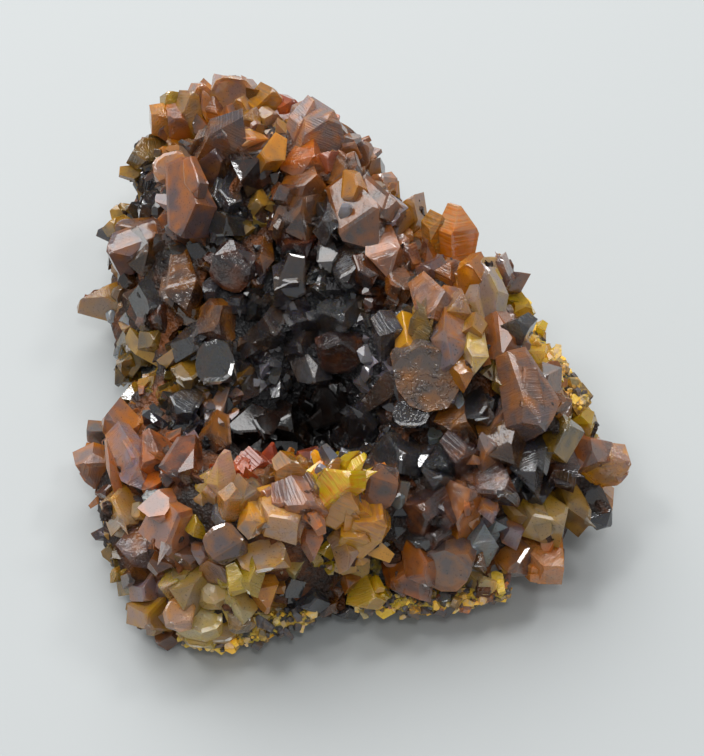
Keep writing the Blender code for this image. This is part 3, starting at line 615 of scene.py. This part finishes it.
CHIPS = 5  # small extra facets a crystal may have
CHIP_REACH = (0.6, 0.86)  # how far out they lie, of the reach of a plain block
STEP_DEPTHS = (-0.018, 0.015, 0.025)  # of the crystal's width, as a sunk or a raised growth step
STEP_MARGINS = (0.05, 0.11)
FACE_SHARE = 0.85  # how far a crystal's face stands in front of its middle, of a plain block's
SMALL_STAND = 0.15  # how far a small crystal's middle stands over the larger ones, of its depth
GROWTH = 1.13  # a crystal as grown, of the size that is read from the photograph
PITTED_WIDTH = 13  # in millimetres: a wider face is etched all over
ROLLS = (-0.8, -0.6, -0.3, 0.2, 0.5, 0.7)  # how far a crystal may be turned round its length, as slopes
RISE_SHARE = 0.65  # how far a crystal's tip turns to the eye here, of the angle its solid has
COMPANIONS = (1, 2, 2, 3)  # how many smaller crystals a large one may have grown
COMPANION_SHARES = (0.4, 0.75)  # of its size
COMPANION_TURN = 0.35  # how far they lean from it, in radians
COMPANION_WIDTH = 5  # in millimetres: a wider crystal has companions, unless it is a shield


def select_faces(rule):
    """In edit mode, selects the faces whose middle and direction pass a rule."""
    bpy.ops.mesh.select_all(action="DESELECT")
    shape = bmesh.from_edit_mesh(bpy.context.object.data)
    for face in shape.faces:
        face.select_set(rule(face.calc_center_median(), face.normal))
    bmesh.update_edit_mesh(bpy.context.object.data)


def slice_off(place, facing):
    """In edit mode, cuts away what lies past a plane."""
    bpy.ops.mesh.select_all(action="SELECT")
    bpy.ops.mesh.bisect(plane_co=place, plane_no=facing, use_fill=True, clear_outer=True)


def facets(habit, thick, dice):
    """The planes that turn a block of unit width and length into a crystal, as place and direction."""
    vary = dice.uniform
    planes = []
    if habit == "block":
        lean = vary(-0.2, 0.2)
        for side in (-1, 1):
            planes.append(((lean, 0, vary(0.42, 0.49)), (side * vary(0.7, 1.1), 0.12 * side, 1)))
        side = dice.choice((-1, 1))
        planes.append(((side * vary(0.30, 0.42), thick / 2, 0), (side, vary(0.8, 1.2), 0)))
        planes.append(((0, thick * 0.28, 0.5), (0, vary(0.8, 1.1), vary(0.7, 1.0))))
        planes.append(((-side * 0.42, 0, 0.42), (-side, vary(-0.2, 0.5), vary(0.5, 1))))
    if habit == "spear":
        for side in (-1, 1):
            planes.append(((side * 0.01, 0, 0.485), (side * vary(1.5, 1.9), 0.4, vary(0.9, 1.1))))
            planes.append(((side * 0.33, thick / 2, 0), (side, 0.9, 0)))
        planes.append(((0, thick * 0.1, 0.47), (vary(-0.3, 0.3), 1.3, 0.8)))
    if habit == "shield":
        for turn in (20, 62, 100, 140, 172, 215, 252, 288, 325):
            slant = math.radians(turn + vary(-9, 9))
            way = Vector((math.cos(slant), 0, math.sin(slant)))
            planes.append((way * vary(0.44, 0.5), way + Vector((0, vary(0.1, 0.5), 0))))
        slant = math.radians(vary(40, 140))
        way = Vector((math.cos(slant), 1.6, math.sin(slant)))
        planes.append(((way.x * 0.36, thick * 0.58, way.z * 0.36), way))
    if habit == "wedge":
        for side in (-1, 1):
            planes.append(((vary(-0.1, 0.1), 0, 0.485), (side * vary(1.0, 1.6), 0, 1)))
        planes.append(((0, thick * vary(0.0, 0.15), 0.475), (vary(-0.25, 0.25), vary(0.7, 1.0), 0.6)))
    for _ in range(CHIPS):
        way = Vector((vary(-1, 1), vary(-0.3, 1), vary(-0.2, 1))).normalized()
        reach = (abs(way.x) + thick * abs(way.y) + abs(way.z)) / 2
        planes.append((way * reach * vary(*CHIP_REACH), way))
    return planes


def model_form(habit, dice):
    """One crystal of unit width and length, with its tip up, its face to +Y and a root: a block cut by its
    facets. It is left in edit mode."""
    thick = THICKNESS[habit]
    tall, middle = 1 + ROOT_SHARE, -ROOT_SHARE / 2
    bpy.ops.object.select_all(action="DESELECT")
    bpy.ops.mesh.primitive_cube_add(size=1, scale=(1, thick, tall), location=(0, 0, middle))
    form = bpy.context.object
    bpy.ops.object.transform_apply(location=True, rotation=False, scale=True)
    bpy.ops.object.mode_set(mode="EDIT")
    bpy.ops.mesh.select_mode(type="FACE")
    select_faces(lambda middle, normal: normal.z < -0.9)
    bpy.ops.transform.resize(value=(ROOT_TAPER, ROOT_TAPER, 1))
    for place, facing in facets(habit, thick, dice):
        slice_off(place, Vector(facing).normalized())
    return form


def step_faces(dice):
    """Sinks or raises a growth step in the broad faces towards the front and the tip."""
    for way in (Vector((0, 1, 0)), Vector((0, 0.6, 0.8))):
        depth = dice.choice(STEP_DEPTHS)
        select_faces(lambda middle, normal: normal.dot(way) > 0.93)
        bpy.ops.mesh.inset(thickness=dice.uniform(*STEP_MARGINS), depth=depth)


def shape_of(form, corner_count):
    """A form's points, its faces and which points are corners, with the form itself cleared away."""
    points = np.array([point.co for point in form.data.vertices])
    faces = [np.array(face.vertices) for face in form.data.polygons]
    bpy.data.objects.remove(form)
    return points, faces, np.arange(len(points)) < corner_count


def form_of(habit, seed, stepped):
    """The shape of a crystal. Its points that aren't corners are the middles of its faces."""
    dice = random.Random(seed)
    form = model_form(habit, dice)
    if stepped:
        step_faces(dice)
    bpy.ops.mesh.select_all(action="SELECT")
    bpy.ops.mesh.normals_make_consistent(inside=False)
    corner_count = len(bmesh.from_edit_mesh(form.data).verts)
    bpy.ops.mesh.poke()
    bpy.ops.object.mode_set(mode="OBJECT")
    return shape_of(form, corner_count)


FORM_SEEDS = range(7)
FORMS = {habit: [form_of(habit, seed, True) for seed in FORM_SEEDS] for habit in THICKNESS}
PLAIN_FORMS = {habit: [form_of(habit, seed, False) for seed in FORM_SEEDS] for habit in THICKNESS}

# One crystal to grow: its form, where it stands, its width, thickness and length in metres, its tint, and how
# fluted and how pitted its faces are.
Plant = namedtuple("Plant", "form seat size tint fluted pitted")


def tinted(tint, dice):
    """A tint with the slight difference that each crystal has."""
    shade = dice.uniform(0.65, 1.35)
    body, inner = ([shade * part * dice.uniform(0.92, 1.08) for part in colour] for colour in tint[:2])
    warmth = tint.warmth * dice.uniform(0.6, 1.3)
    return Tint(body, inner, warmth, tint.satin * dice.uniform(0.6, 1.5))


def planted(name, plants):
    """One mesh of many crystals, each moved to stay in the solids' box. It carries each crystal's colours,
    how warm it shows at each point, its skin, which is its roughness, flutes and pits, and on its faces a map
    in millimetres, across and along the crystal."""
    lowest, highest = np.array(cad_box[0]), np.array(cad_box[1])
    points, corners, lengths, chart, warmth = [], [], [], [], []
    carried = {"body": [], "inner": [], "skin": []}
    start = 0
    for form, seat, size, tint, fluted, pitted in plants:
        local = form[0] * np.array(size)
        turn = np.array(seat)
        placed = local @ turn[:3, :3].T + turn[:3, 3]
        shift = np.maximum(lowest - placed.min(0), 0) - np.maximum(placed.max(0) - highest, 0)
        points.append(placed + shift)
        count = len(local)
        corner = np.concatenate(form[1])
        corners.append(corner + start)
        lengths.extend(len(face) for face in form[1])
        on_side = np.abs(local[:, 0]) * size[1] > np.abs(local[:, 1]) * size[0]
        across = np.where(on_side, local[:, 1], local[:, 0])
        chart.append(np.stack([across, local[:, 2]], 1)[corner] / MM)
        carried["body"].append(np.tile((*tint.body, 1), (count, 1)))
        carried["inner"].append(np.tile((*tint.inner, 1), (count, 1)))
        carried["skin"].append(np.tile((tint.satin, fluted, pitted, 1), (count, 1)))
        depth = np.clip(0.5 - form[0][:, 2], 0, 1)
        # At the corners, on the faces' edges, the inside's orange is raised: painted glow of light through
        # the thin crystal.
        warmth.append(tint.warmth * (1.2 * depth + np.where(form[2], 0.5, -0.1)))
        start += count
    mesh = bpy.data.meshes.new(name)
    mesh.vertices.add(start)
    mesh.vertices.foreach_set("co", np.concatenate(points).ravel())
    corners = np.concatenate(corners)
    mesh.loops.add(len(corners))
    mesh.loops.foreach_set("vertex_index", corners)
    mesh.polygons.add(len(lengths))
    mesh.polygons.foreach_set("loop_start", np.cumsum([0] + lengths[:-1]))
    mesh.update(calc_edges=True)
    mesh.uv_layers.new(name="chart").data.foreach_set("uv", np.concatenate(chart).ravel())
    for layer, rows in carried.items():
        colours = mesh.attributes.new(layer, "FLOAT_COLOR", "POINT")
        colours.data.foreach_set("color", np.concatenate(rows).ravel())
    mesh.attributes.new("warmth", "FLOAT", "POINT").data.foreach_set("value", np.concatenate(warmth))
    mesh.validate()
    mesh.shade_flat()
    piece = bpy.data.objects.new(name, mesh)
    bpy.context.collection.objects.link(piece)
    return piece


joined = bmesh.new()
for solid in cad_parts.values():
    joined.from_mesh(solid.data)
solids = BVHTree.FromBMesh(joined)
joined.free()
SEARCH = 80 * MM  # how far on either side of the middle a line of sight is searched
SEARCH_STEP = 0.5 * MM


def seen_place(across, down):
    """Where a sight line meets the solids, or comes nearest to them, and whether it meets them."""
    right = (across - PHOTO_CENTRE[0]) * MM_PER_PIXEL * MM
    up = (PHOTO_CENTRE[1] - down) * MM_PER_PIXEL * MM
    line = (SIGHT_CENTRE + right * PHOTO_RIGHT + up * PHOTO_UP - EYE).normalized()
    place = solids.ray_cast(EYE, line)[0]
    if place is not None:
        return place, True
    count = round(2 * SEARCH / SEARCH_STEP)
    along = [EYE + (EYE_DISTANCE - SEARCH + number * SEARCH_STEP) * line for number in range(count)]
    return min(along, key=lambda place: solids.find_nearest(place)[3]), False


def turned(axis, front, place):
    """Stands a form at a place, as a matrix, with its tip along the axis and its face turned to the front."""
    across = front.cross(axis).normalized()
    face = axis.cross(across)
    return Matrix.Translation(place) @ Matrix((across, face, axis)).transposed().to_4x4()


def size_of(crystal):
    """A crystal's width, thickness and length as grown: its facets take a little off the size as read."""
    thick = min(crystal.wide, crystal.long * 1.2)
    return [GROWTH * size * MM for size in (crystal.wide, thick, crystal.long)]


def grown(crystal, dice, stand):
    """A crystal of the photograph, ready to plant. It stands over what the sight line meets by a share of its
    depth, or under it where the share is negative."""
    aim, rise = math.radians(crystal.aim), math.radians(crystal.rise * RISE_SHARE)
    flat = math.cos(aim) * PHOTO_RIGHT + math.sin(aim) * PHOTO_UP
    axis = math.cos(rise) * flat + math.sin(rise) * TO_EYE
    size = size_of(crystal)
    depth = min(THICKNESS[crystal.habit] * size[1] / math.cos(rise), size[2] / math.sin(rise)) / 2
    place, met = seen_place(crystal.across, crystal.down)
    roll = 0 if crystal.habit == "shield" else dice.choice(ROLLS)
    front = TO_EYE + roll * axis.cross(TO_EYE)
    seat = turned(axis, front, place + (stand * depth * TO_EYE if met else Vector()))
    pitted = 3 if crystal.wide > PITTED_WIDTH else dice.choice((0, 0, 0, 0.8))
    fluted = 0 if crystal.habit == "shield" else dice.choice((0, 0, 0.3, 0.7))
    form = dice.choice(FORMS[crystal.habit])
    return Plant(form, seat, size, tinted(TINTS[crystal.tint], dice), fluted, pitted)


def companions(plant, dice):
    """Smaller crystals that grew from a large one, almost parallel to it."""
    wide, thick, long = plant.size
    grown_on = []
    for _ in range(dice.choice(COMPANIONS)):
        share = dice.uniform(*COMPANION_SHARES)
        sideways, out, along = dice.uniform(-0.45, 0.45), dice.uniform(-0.25, 0.15), dice.uniform(-0.4, 0.12)
        beside = Matrix.Translation((sideways * wide, out * thick, along * long))
        lean = dice.gauss(0, COMPANION_TURN)
        turn = Matrix.Rotation(lean, 4, Vector([dice.gauss(0, 1) for _ in range(3)]))
        seat = plant.seat @ beside @ turn
        size = [share * part * dice.uniform(0.8, 1.2) for part in plant.size]
        form = dice.choice(FORMS[dice.choice(("block", "wedge"))])
        grown_on.append(Plant(form, seat, size, tinted(plant.tint, dice), plant.fluted, 0))
    return grown_on


def crystal_finish():
    """Shining faces over a body that lets some light through. The inside's colour shows through the body's in
    patches and towards the root, and at the edges as painted glow of light passing through the thin crystal."""
    crystal = Finish(
        "orpiment",
        IOR=1.75,
        Specular_IOR_Level=0.55,
        Coat_Weight=0.25,
        Coat_Roughness=0.03,
        Transmission_Weight=0.5,
        Subsurface_Weight=0.3,
        Subsurface_Radius=(2.0, 1.1, 0.3),
        Subsurface_Scale=MM,
    )
    satin, fluted, pitted = crystal.parts(crystal.carried("skin"))
    chart = crystal.node("UVMap", {"uv_map": "chart"}, {})
    grooves = crystal.node("Mapping", {}, {"Vector": chart, "Scale": (0.30, 3.2, 1)})
    cloud = crystal.noise(2.2 * MM, 3)
    veil = crystal.noise(0.6 * MM, 2)
    patches = (crystal.noise(3.5 * MM, 1) - 0.55) * 2.2
    share = crystal.carried("warmth", "Fac") + patches + (cloud - 0.5) * 0.7
    colour = crystal.mix(share.clamped(), crystal.carried("body"), crystal.carried("inner"))
    flecks = crystal.noise(0.35 * MM, 1).above(0.68, 0.06) * 0.5
    colour = crystal.mix(flecks, colour, (0.02, 0.012, 0.008, 1))
    crystal.set(Base_Color=colour, Roughness=satin * 0.7 + (veil - 0.5) * 0.15)
    flutes = crystal.noise(1, 2, grooves).above(0.5, 0.25) * fluted
    etched = crystal.noise(4 * MM, 1).above(0.5, 0.2)
    pits = crystal.noise(0.9 * MM, 2).above(0.52, 0.12) * etched * pitted
    crystal.bump(flutes + pits + cloud * 0.5 + veil * 0.3, 0.09 * MM)
    return crystal.material


def clear_finish():
    """Clear golden orpiment, streaked along its length. Of the light that passes through it, mostly the
    yellow and the red come out."""
    clear = Finish(
        "clear_orpiment",
        IOR=1.8,
        Roughness=0.04,
        Coat_Weight=0.4,
        Coat_Roughness=0.03,
        Transmission_Weight=0.45,
        Subsurface_Weight=0.4,
        Subsurface_Radius=(2.5, 1.4, 0.2),
        Subsurface_Scale=MM,
    )
    chart = clear.node("UVMap", {"uv_map": "chart"}, {})
    grooves = clear.node("Mapping", {}, {"Vector": chart, "Scale": (0.15, 1.6, 1)})
    streaks = clear.noise(1, 2, grooves)
    patches = (clear.noise(1.6 * MM, 2) - 0.55) * 1.5
    # The warmth carries the painted glow of light at the crystals' edges.
    share = clear.carried("warmth", "Fac") + (streaks - 0.5) * 2.5 + patches
    clear.set(Base_Color=clear.mix(share.clamped(), clear.carried("body"), clear.carried("inner")))
    clear.bump(streaks.above(0.5, 0.2), 0.05 * MM)
    inside = clear.node("VolumeAbsorption", {}, {"Color": (1.0, 0.55, 0.05, 1), "Density": 30.0})
    plug(clear.tree.nodes["Material Output"].inputs["Volume"], inside)
    return clear.material


def edge_finish():
    """The narrow worn edges between faces, painted light: an orange glow of light through the thin crystal,
    and patches of pale gold as a painted highlight.
    """
    edge = Finish("crystal_edges", IOR=2.2, Roughness=0.3)
    body = edge.mix(0.6, edge.carried("body"), edge.carried("inner"))
    # Pale gold in patches: painted highlight along the edges.
    edge.set(Base_Color=edge.mix(edge.noise(3 * MM).above(0.5, 0.2) * 0.8, body, (0.80, 0.60, 0.26, 1)))
    return edge.material


EDGE_WIDTH = 0.19 * MM
WORN_ANGLE = math.radians(25)  # edges sharper than this are worn
crystals = crystal_finish()
clear_crystals = clear_finish()
edges = edge_finish()


def crystal_group(name, table, slot, stand, seed, finish=crystals):
    """The crystals of one table as one piece, with their edges worn."""
    dice = random.Random(seed)
    rows = [Crystal(*row) for row in table]
    plants = [grown(crystal, dice, stand) for crystal in rows]
    parents = [crystal.wide > COMPANION_WIDTH and crystal.habit != "shield" for crystal in rows]
    large = [plant for plant, parent in zip(plants, parents) if parent]
    plants += [companion for plant in large for companion in companions(plant, dice)]
    piece = planted(name, plants)
    modified(piece, "BEVEL", width=EDGE_WIDTH, limit_method="ANGLE", angle_limit=WORN_ANGLE, material=1)
    piece.data.shade_flat()
    finished(piece, slot, finish, edges)
    return plants


listed = crystal_group("north_crystals", NORTH, "orpiment_crystal", -FACE_SHARE, 1)
listed += crystal_group("east_crystals", EAST, "orpiment_crystal", -FACE_SHARE, 2)
listed += crystal_group("front_crystals", FRONT, "orpiment_crystal", -FACE_SHARE, 3)
listed += crystal_group("druse_crystals", DRUSE, "druse_crystal", -FACE_SHARE, 4)
listed += crystal_group("clear_crystals", CLEAR, "orpiment_crystal", -FACE_SHARE / 2, 6, clear_crystals)
listed += crystal_group("small_crystals", SMALL, "orpiment_crystal", SMALL_STAND, 5)


# The crystals that fill the crust between the larger ones, each a few millimetres long. They take the tint of
# the crystals near them, and vary more from dark to light.
Patch = namedtuple("Patch", "place normal")


def spread(piece, spacing, dice):
    """Places spread over a mesh, no two nearer each other than the spacing."""
    mesh = piece.data
    mesh.calc_loop_triangles()
    corners = np.zeros(len(mesh.loop_triangles) * 3, np.int32)
    mesh.loop_triangles.foreach_get("vertices", corners)
    points = np.zeros(len(mesh.vertices) * 3)
    mesh.vertices.foreach_get("co", points)
    triangles = points.reshape(-1, 3)[corners].reshape(-1, 3, 3)
    crosses = np.cross(triangles[:, 1] - triangles[:, 0], triangles[:, 2] - triangles[:, 0])
    areas = np.linalg.norm(crosses, axis=1)
    count = int(3 * areas.sum() / 2 / spacing**2)
    chosen = np.array(dice.choices(range(len(areas)), weights=areas, k=count))
    shares = np.array([sorted((dice.random(), dice.random())) for _ in chosen])
    shares = np.stack([shares[:, 0], shares[:, 1] - shares[:, 0], 1 - shares[:, 1]], 1)
    places = (triangles[chosen] * shares[:, :, None]).sum(1)
    normals = crosses[chosen] / areas[chosen, None]
    tree = KDTree(count)
    for number, place in enumerate(places):
        tree.insert(place, number)
    tree.balance()
    kept, dropped = [], set()
    for number, place in enumerate(places):
        if number not in dropped:
            kept.append(Patch(Vector(place), Vector(normals[number])))
            dropped.update(other for _, other, _ in tree.find_range(place, spacing) if other > number)
    return kept


BARE_REACH = np.array([0.45, 0.35, 0.45])  # how far a crystal covers the ground, of its size


def bare_of(patches, plants):
    """The patches that lie in none of the planted crystals."""
    places = np.array([patch.place for patch in patches])
    covered = np.zeros(len(patches), bool)
    for plant in plants:
        inverse = np.array(plant.seat.inverted())
        local = places @ inverse[:3, :3].T + inverse[:3, 3]
        reach = BARE_REACH * np.array(plant.size)
        near = np.abs(local) < reach
        near[:, 2] = (local[:, 2] < reach[2]) & (local[:, 2] > -plant.size[2])
        covered |= near.all(1)
    return [patch for patch, cover in zip(patches, covered) if not cover]


FILL_HABITS = ("block", "wedge", "wedge", "wedge", "spear", "shield")
JITTER = 0.5  # how far a fill crystal leans from square to its ground, as a slope
EYE_LEAN = 0.3  # how far it leans to the eye
FILL_STAND = 0.2  # how far its middle stands out of the ground, of its length
LOWEST = -0.6  # nothing grows where the ground faces further down than this
AIR = 3.5 * MM  # a patch is open where this far out from it is in the air


def buried(place):
    """Whether a place lies inside one of the solids."""
    surface, normal, _, _ = solids.find_nearest(place)
    return (place - surface).dot(normal) < 0


def open_above(patch):
    """Whether a crystal that grows from here would come out into the air."""
    met = solids.ray_cast(patch.place, patch.normal, AIR)[0]
    return met is None or not buried(patch.place + AIR * patch.normal)


def far_side(patch):
    """Whether a patch lies where the photograph doesn't show it."""
    return patch.normal.dot(TO_EYE) < 0.1 and patch.normal.z > -0.3 and open_above(patch)


def filled(name, ground, spacing, sizes, slot, seed, shades, rule=open_above):
    """Crystals over those patches of a ground that pass a rule and lie in no crystal yet. Shades are the
    darkest and the lightest share of the neighbours' tint."""
    dice = random.Random(seed)
    patches = [patch for patch in spread(ground, spacing, dice) if patch.normal.z > LOWEST and rule(patch)]
    patches = bare_of(patches, listed)
    near = KDTree(len(listed))
    for number, plant in enumerate(listed):
        near.insert(plant.seat.translation, number)
    near.balance()
    plants = []
    for patch in patches:
        wide = dice.uniform(*sizes) * MM
        axis = patch.normal + Vector([dice.gauss(0, JITTER) for _ in range(3)])
        axis = (axis + EYE_LEAN * TO_EYE).normalized()
        _, number, _ = near.find_n(patch.place, 3)[dice.choice((0, 0, 1, 2))]
        tint = tinted(listed[number].tint, dice)
        shade = dice.uniform(*shades)
        body, inner = ([shade * part for part in colour] for colour in tint[:2])
        tint = Tint(body, inner, tint.warmth * 1.25, tint.satin)
        front = Vector([dice.gauss(0, 1) for _ in range(3)]) + TO_EYE
        form = dice.choice(PLAIN_FORMS[dice.choice(FILL_HABITS)])
        long = wide * dice.uniform(0.9, 1.5)
        if not buried(patch.place - long * axis):
            long *= 0.6
            wide *= 0.7
        size = (wide, wide * dice.uniform(0.7, 1), long)
        seat = turned(axis, front, patch.place + FILL_STAND * long * axis)
        plants.append(Plant(form, seat, size, tint, 0, 0))
    piece = planted(name, plants)
    finished(piece, slot, crystals)
    return plants


FAR_SIZES, CRUST_SIZES, DRUSE_SIZES = (5.0, 8.5), (2.4, 6.2), (2.0, 5.8)
far = filled("far_crystals", crust_ground, 5 * MM, FAR_SIZES, "orpiment_crystal", 13, (0.7, 1.1), far_side)
listed += far
filled("crust_fill", crust_ground, 1.4 * MM, CRUST_SIZES, "orpiment_crystal", 11, (0.45, 1.2))
filled("druse_fill", druse_ground, 1.15 * MM, DRUSE_SIZES, "druse_crystal", 12, (0.5, 1.5))


# The yellow seams: massive orpiment, powdery and golden, where the crust meets the rock. Each is a solid core
# that crumbles into grains at its surface.
SEAM_VOXEL = 0.6 * MM
CRUMB_SIZES = (0.8, 3.6)
CRUMB_SPACING = 1.05 * MM
CRUMB_UNEVENNESS = 0.16  # of a crumb's width


def crumb_form(seed):
    """One grain that crumbled off, of unit width: a ball with its points pushed about."""
    bpy.ops.object.select_all(action="DESELECT")
    bpy.ops.mesh.primitive_ico_sphere_add(subdivisions=1, radius=0.5)
    crumb = bpy.context.object
    bpy.ops.object.mode_set(mode="EDIT")
    bpy.ops.mesh.select_all(action="SELECT")
    bpy.ops.transform.vertex_random(offset=CRUMB_UNEVENNESS, seed=seed)
    bpy.ops.object.mode_set(mode="OBJECT")
    return shape_of(crumb, 0)


def powder_finish():
    """Powdery yellow, with dirt in patches."""
    powder = Finish(
        "yellow_orpiment",
        IOR=1.9,
        Subsurface_Weight=0.3,
        Subsurface_Radius=(1.6, 0.9, 0.2),
        Subsurface_Scale=MM,
    )
    patch = powder.noise(2.5 * MM, 3)
    colour = powder.mix(patch.above(0.5, 0.3), (0.62, 0.36, 0.015, 1), (0.72, 0.53, 0.03, 1))
    dirt = (powder.noise(1.1 * MM, 3) + powder.noise(5 * MM) * 0.6).above(0.82, 0.12)
    powder.set(Base_Color=powder.mix(dirt, colour, (0.035, 0.032, 0.022, 1)), Roughness=0.5 + patch * 0.35)
    powder.bump(powder.noise(0.3 * MM, 3) + powder.cells(0.7 * MM), 0.2 * MM)
    return powder.material


def crumb_finish():
    """Crumbs in their own tints, a little shinier than the powder."""
    crumbs = Finish("crumbs", IOR=1.9)
    patch = crumbs.noise(0.9 * MM, 3)
    colour = crumbs.mix(patch.above(0.55, 0.2), crumbs.carried("body"), crumbs.carried("inner"))
    crumbs.set(Base_Color=colour, Roughness=0.3 + patch * 0.3)
    crumbs.bump(patch + crumbs.cells(0.7 * MM), 0.12 * MM)
    return crumbs.material


yellow = powder_finish()
loose = crumb_finish()
CRUMBS = [crumb_form(seed) for seed in range(6)] + PLAIN_FORMS["block"]
SEAMS = {
    "right_yellow_seam": ("yellow", "yellow", "straw", "straw", "olive", "olive", "slate"),
    "front_yellow_seam": ("yellow", "straw", "straw", "olive", "slate", "slate"),
    "ledge_yellow_seam": ("yellow", "straw", "olive", "rust", "slate", "slate", "slate"),
}
for number, (node, tints) in enumerate(SEAMS.items()):
    seam = copied(node, node.replace("yellow_seam", "seam_core"))
    modified(seam, "REMESH", mode="VOXEL", voxel_size=SEAM_VOXEL)
    roughened(seam, "CLOUDS", 3 * MM, 1.6 * MM)
    finished(seam, "massive_orpiment", yellow, node=node)
    dice = random.Random(20 + number)
    plants = []
    for patch in spread(seam, CRUMB_SPACING, dice):
        wide = dice.triangular(*CRUMB_SIZES, CRUMB_SIZES[0]) * MM
        way = Vector([dice.gauss(0, 1) for _ in range(3)]).normalized()
        seat = turned(way, TO_EYE, patch.place)
        size = [wide * dice.uniform(0.7, 1.1) for _ in range(3)]
        form = dice.choice(CRUMBS)
        plants.append(Plant(form, seat, size, tinted(TINTS[dice.choice(tints)], dice), 0, 0))
    finished(planted(node.replace("yellow_seam", "seam_crumbs"), plants), "massive_orpiment", loose)
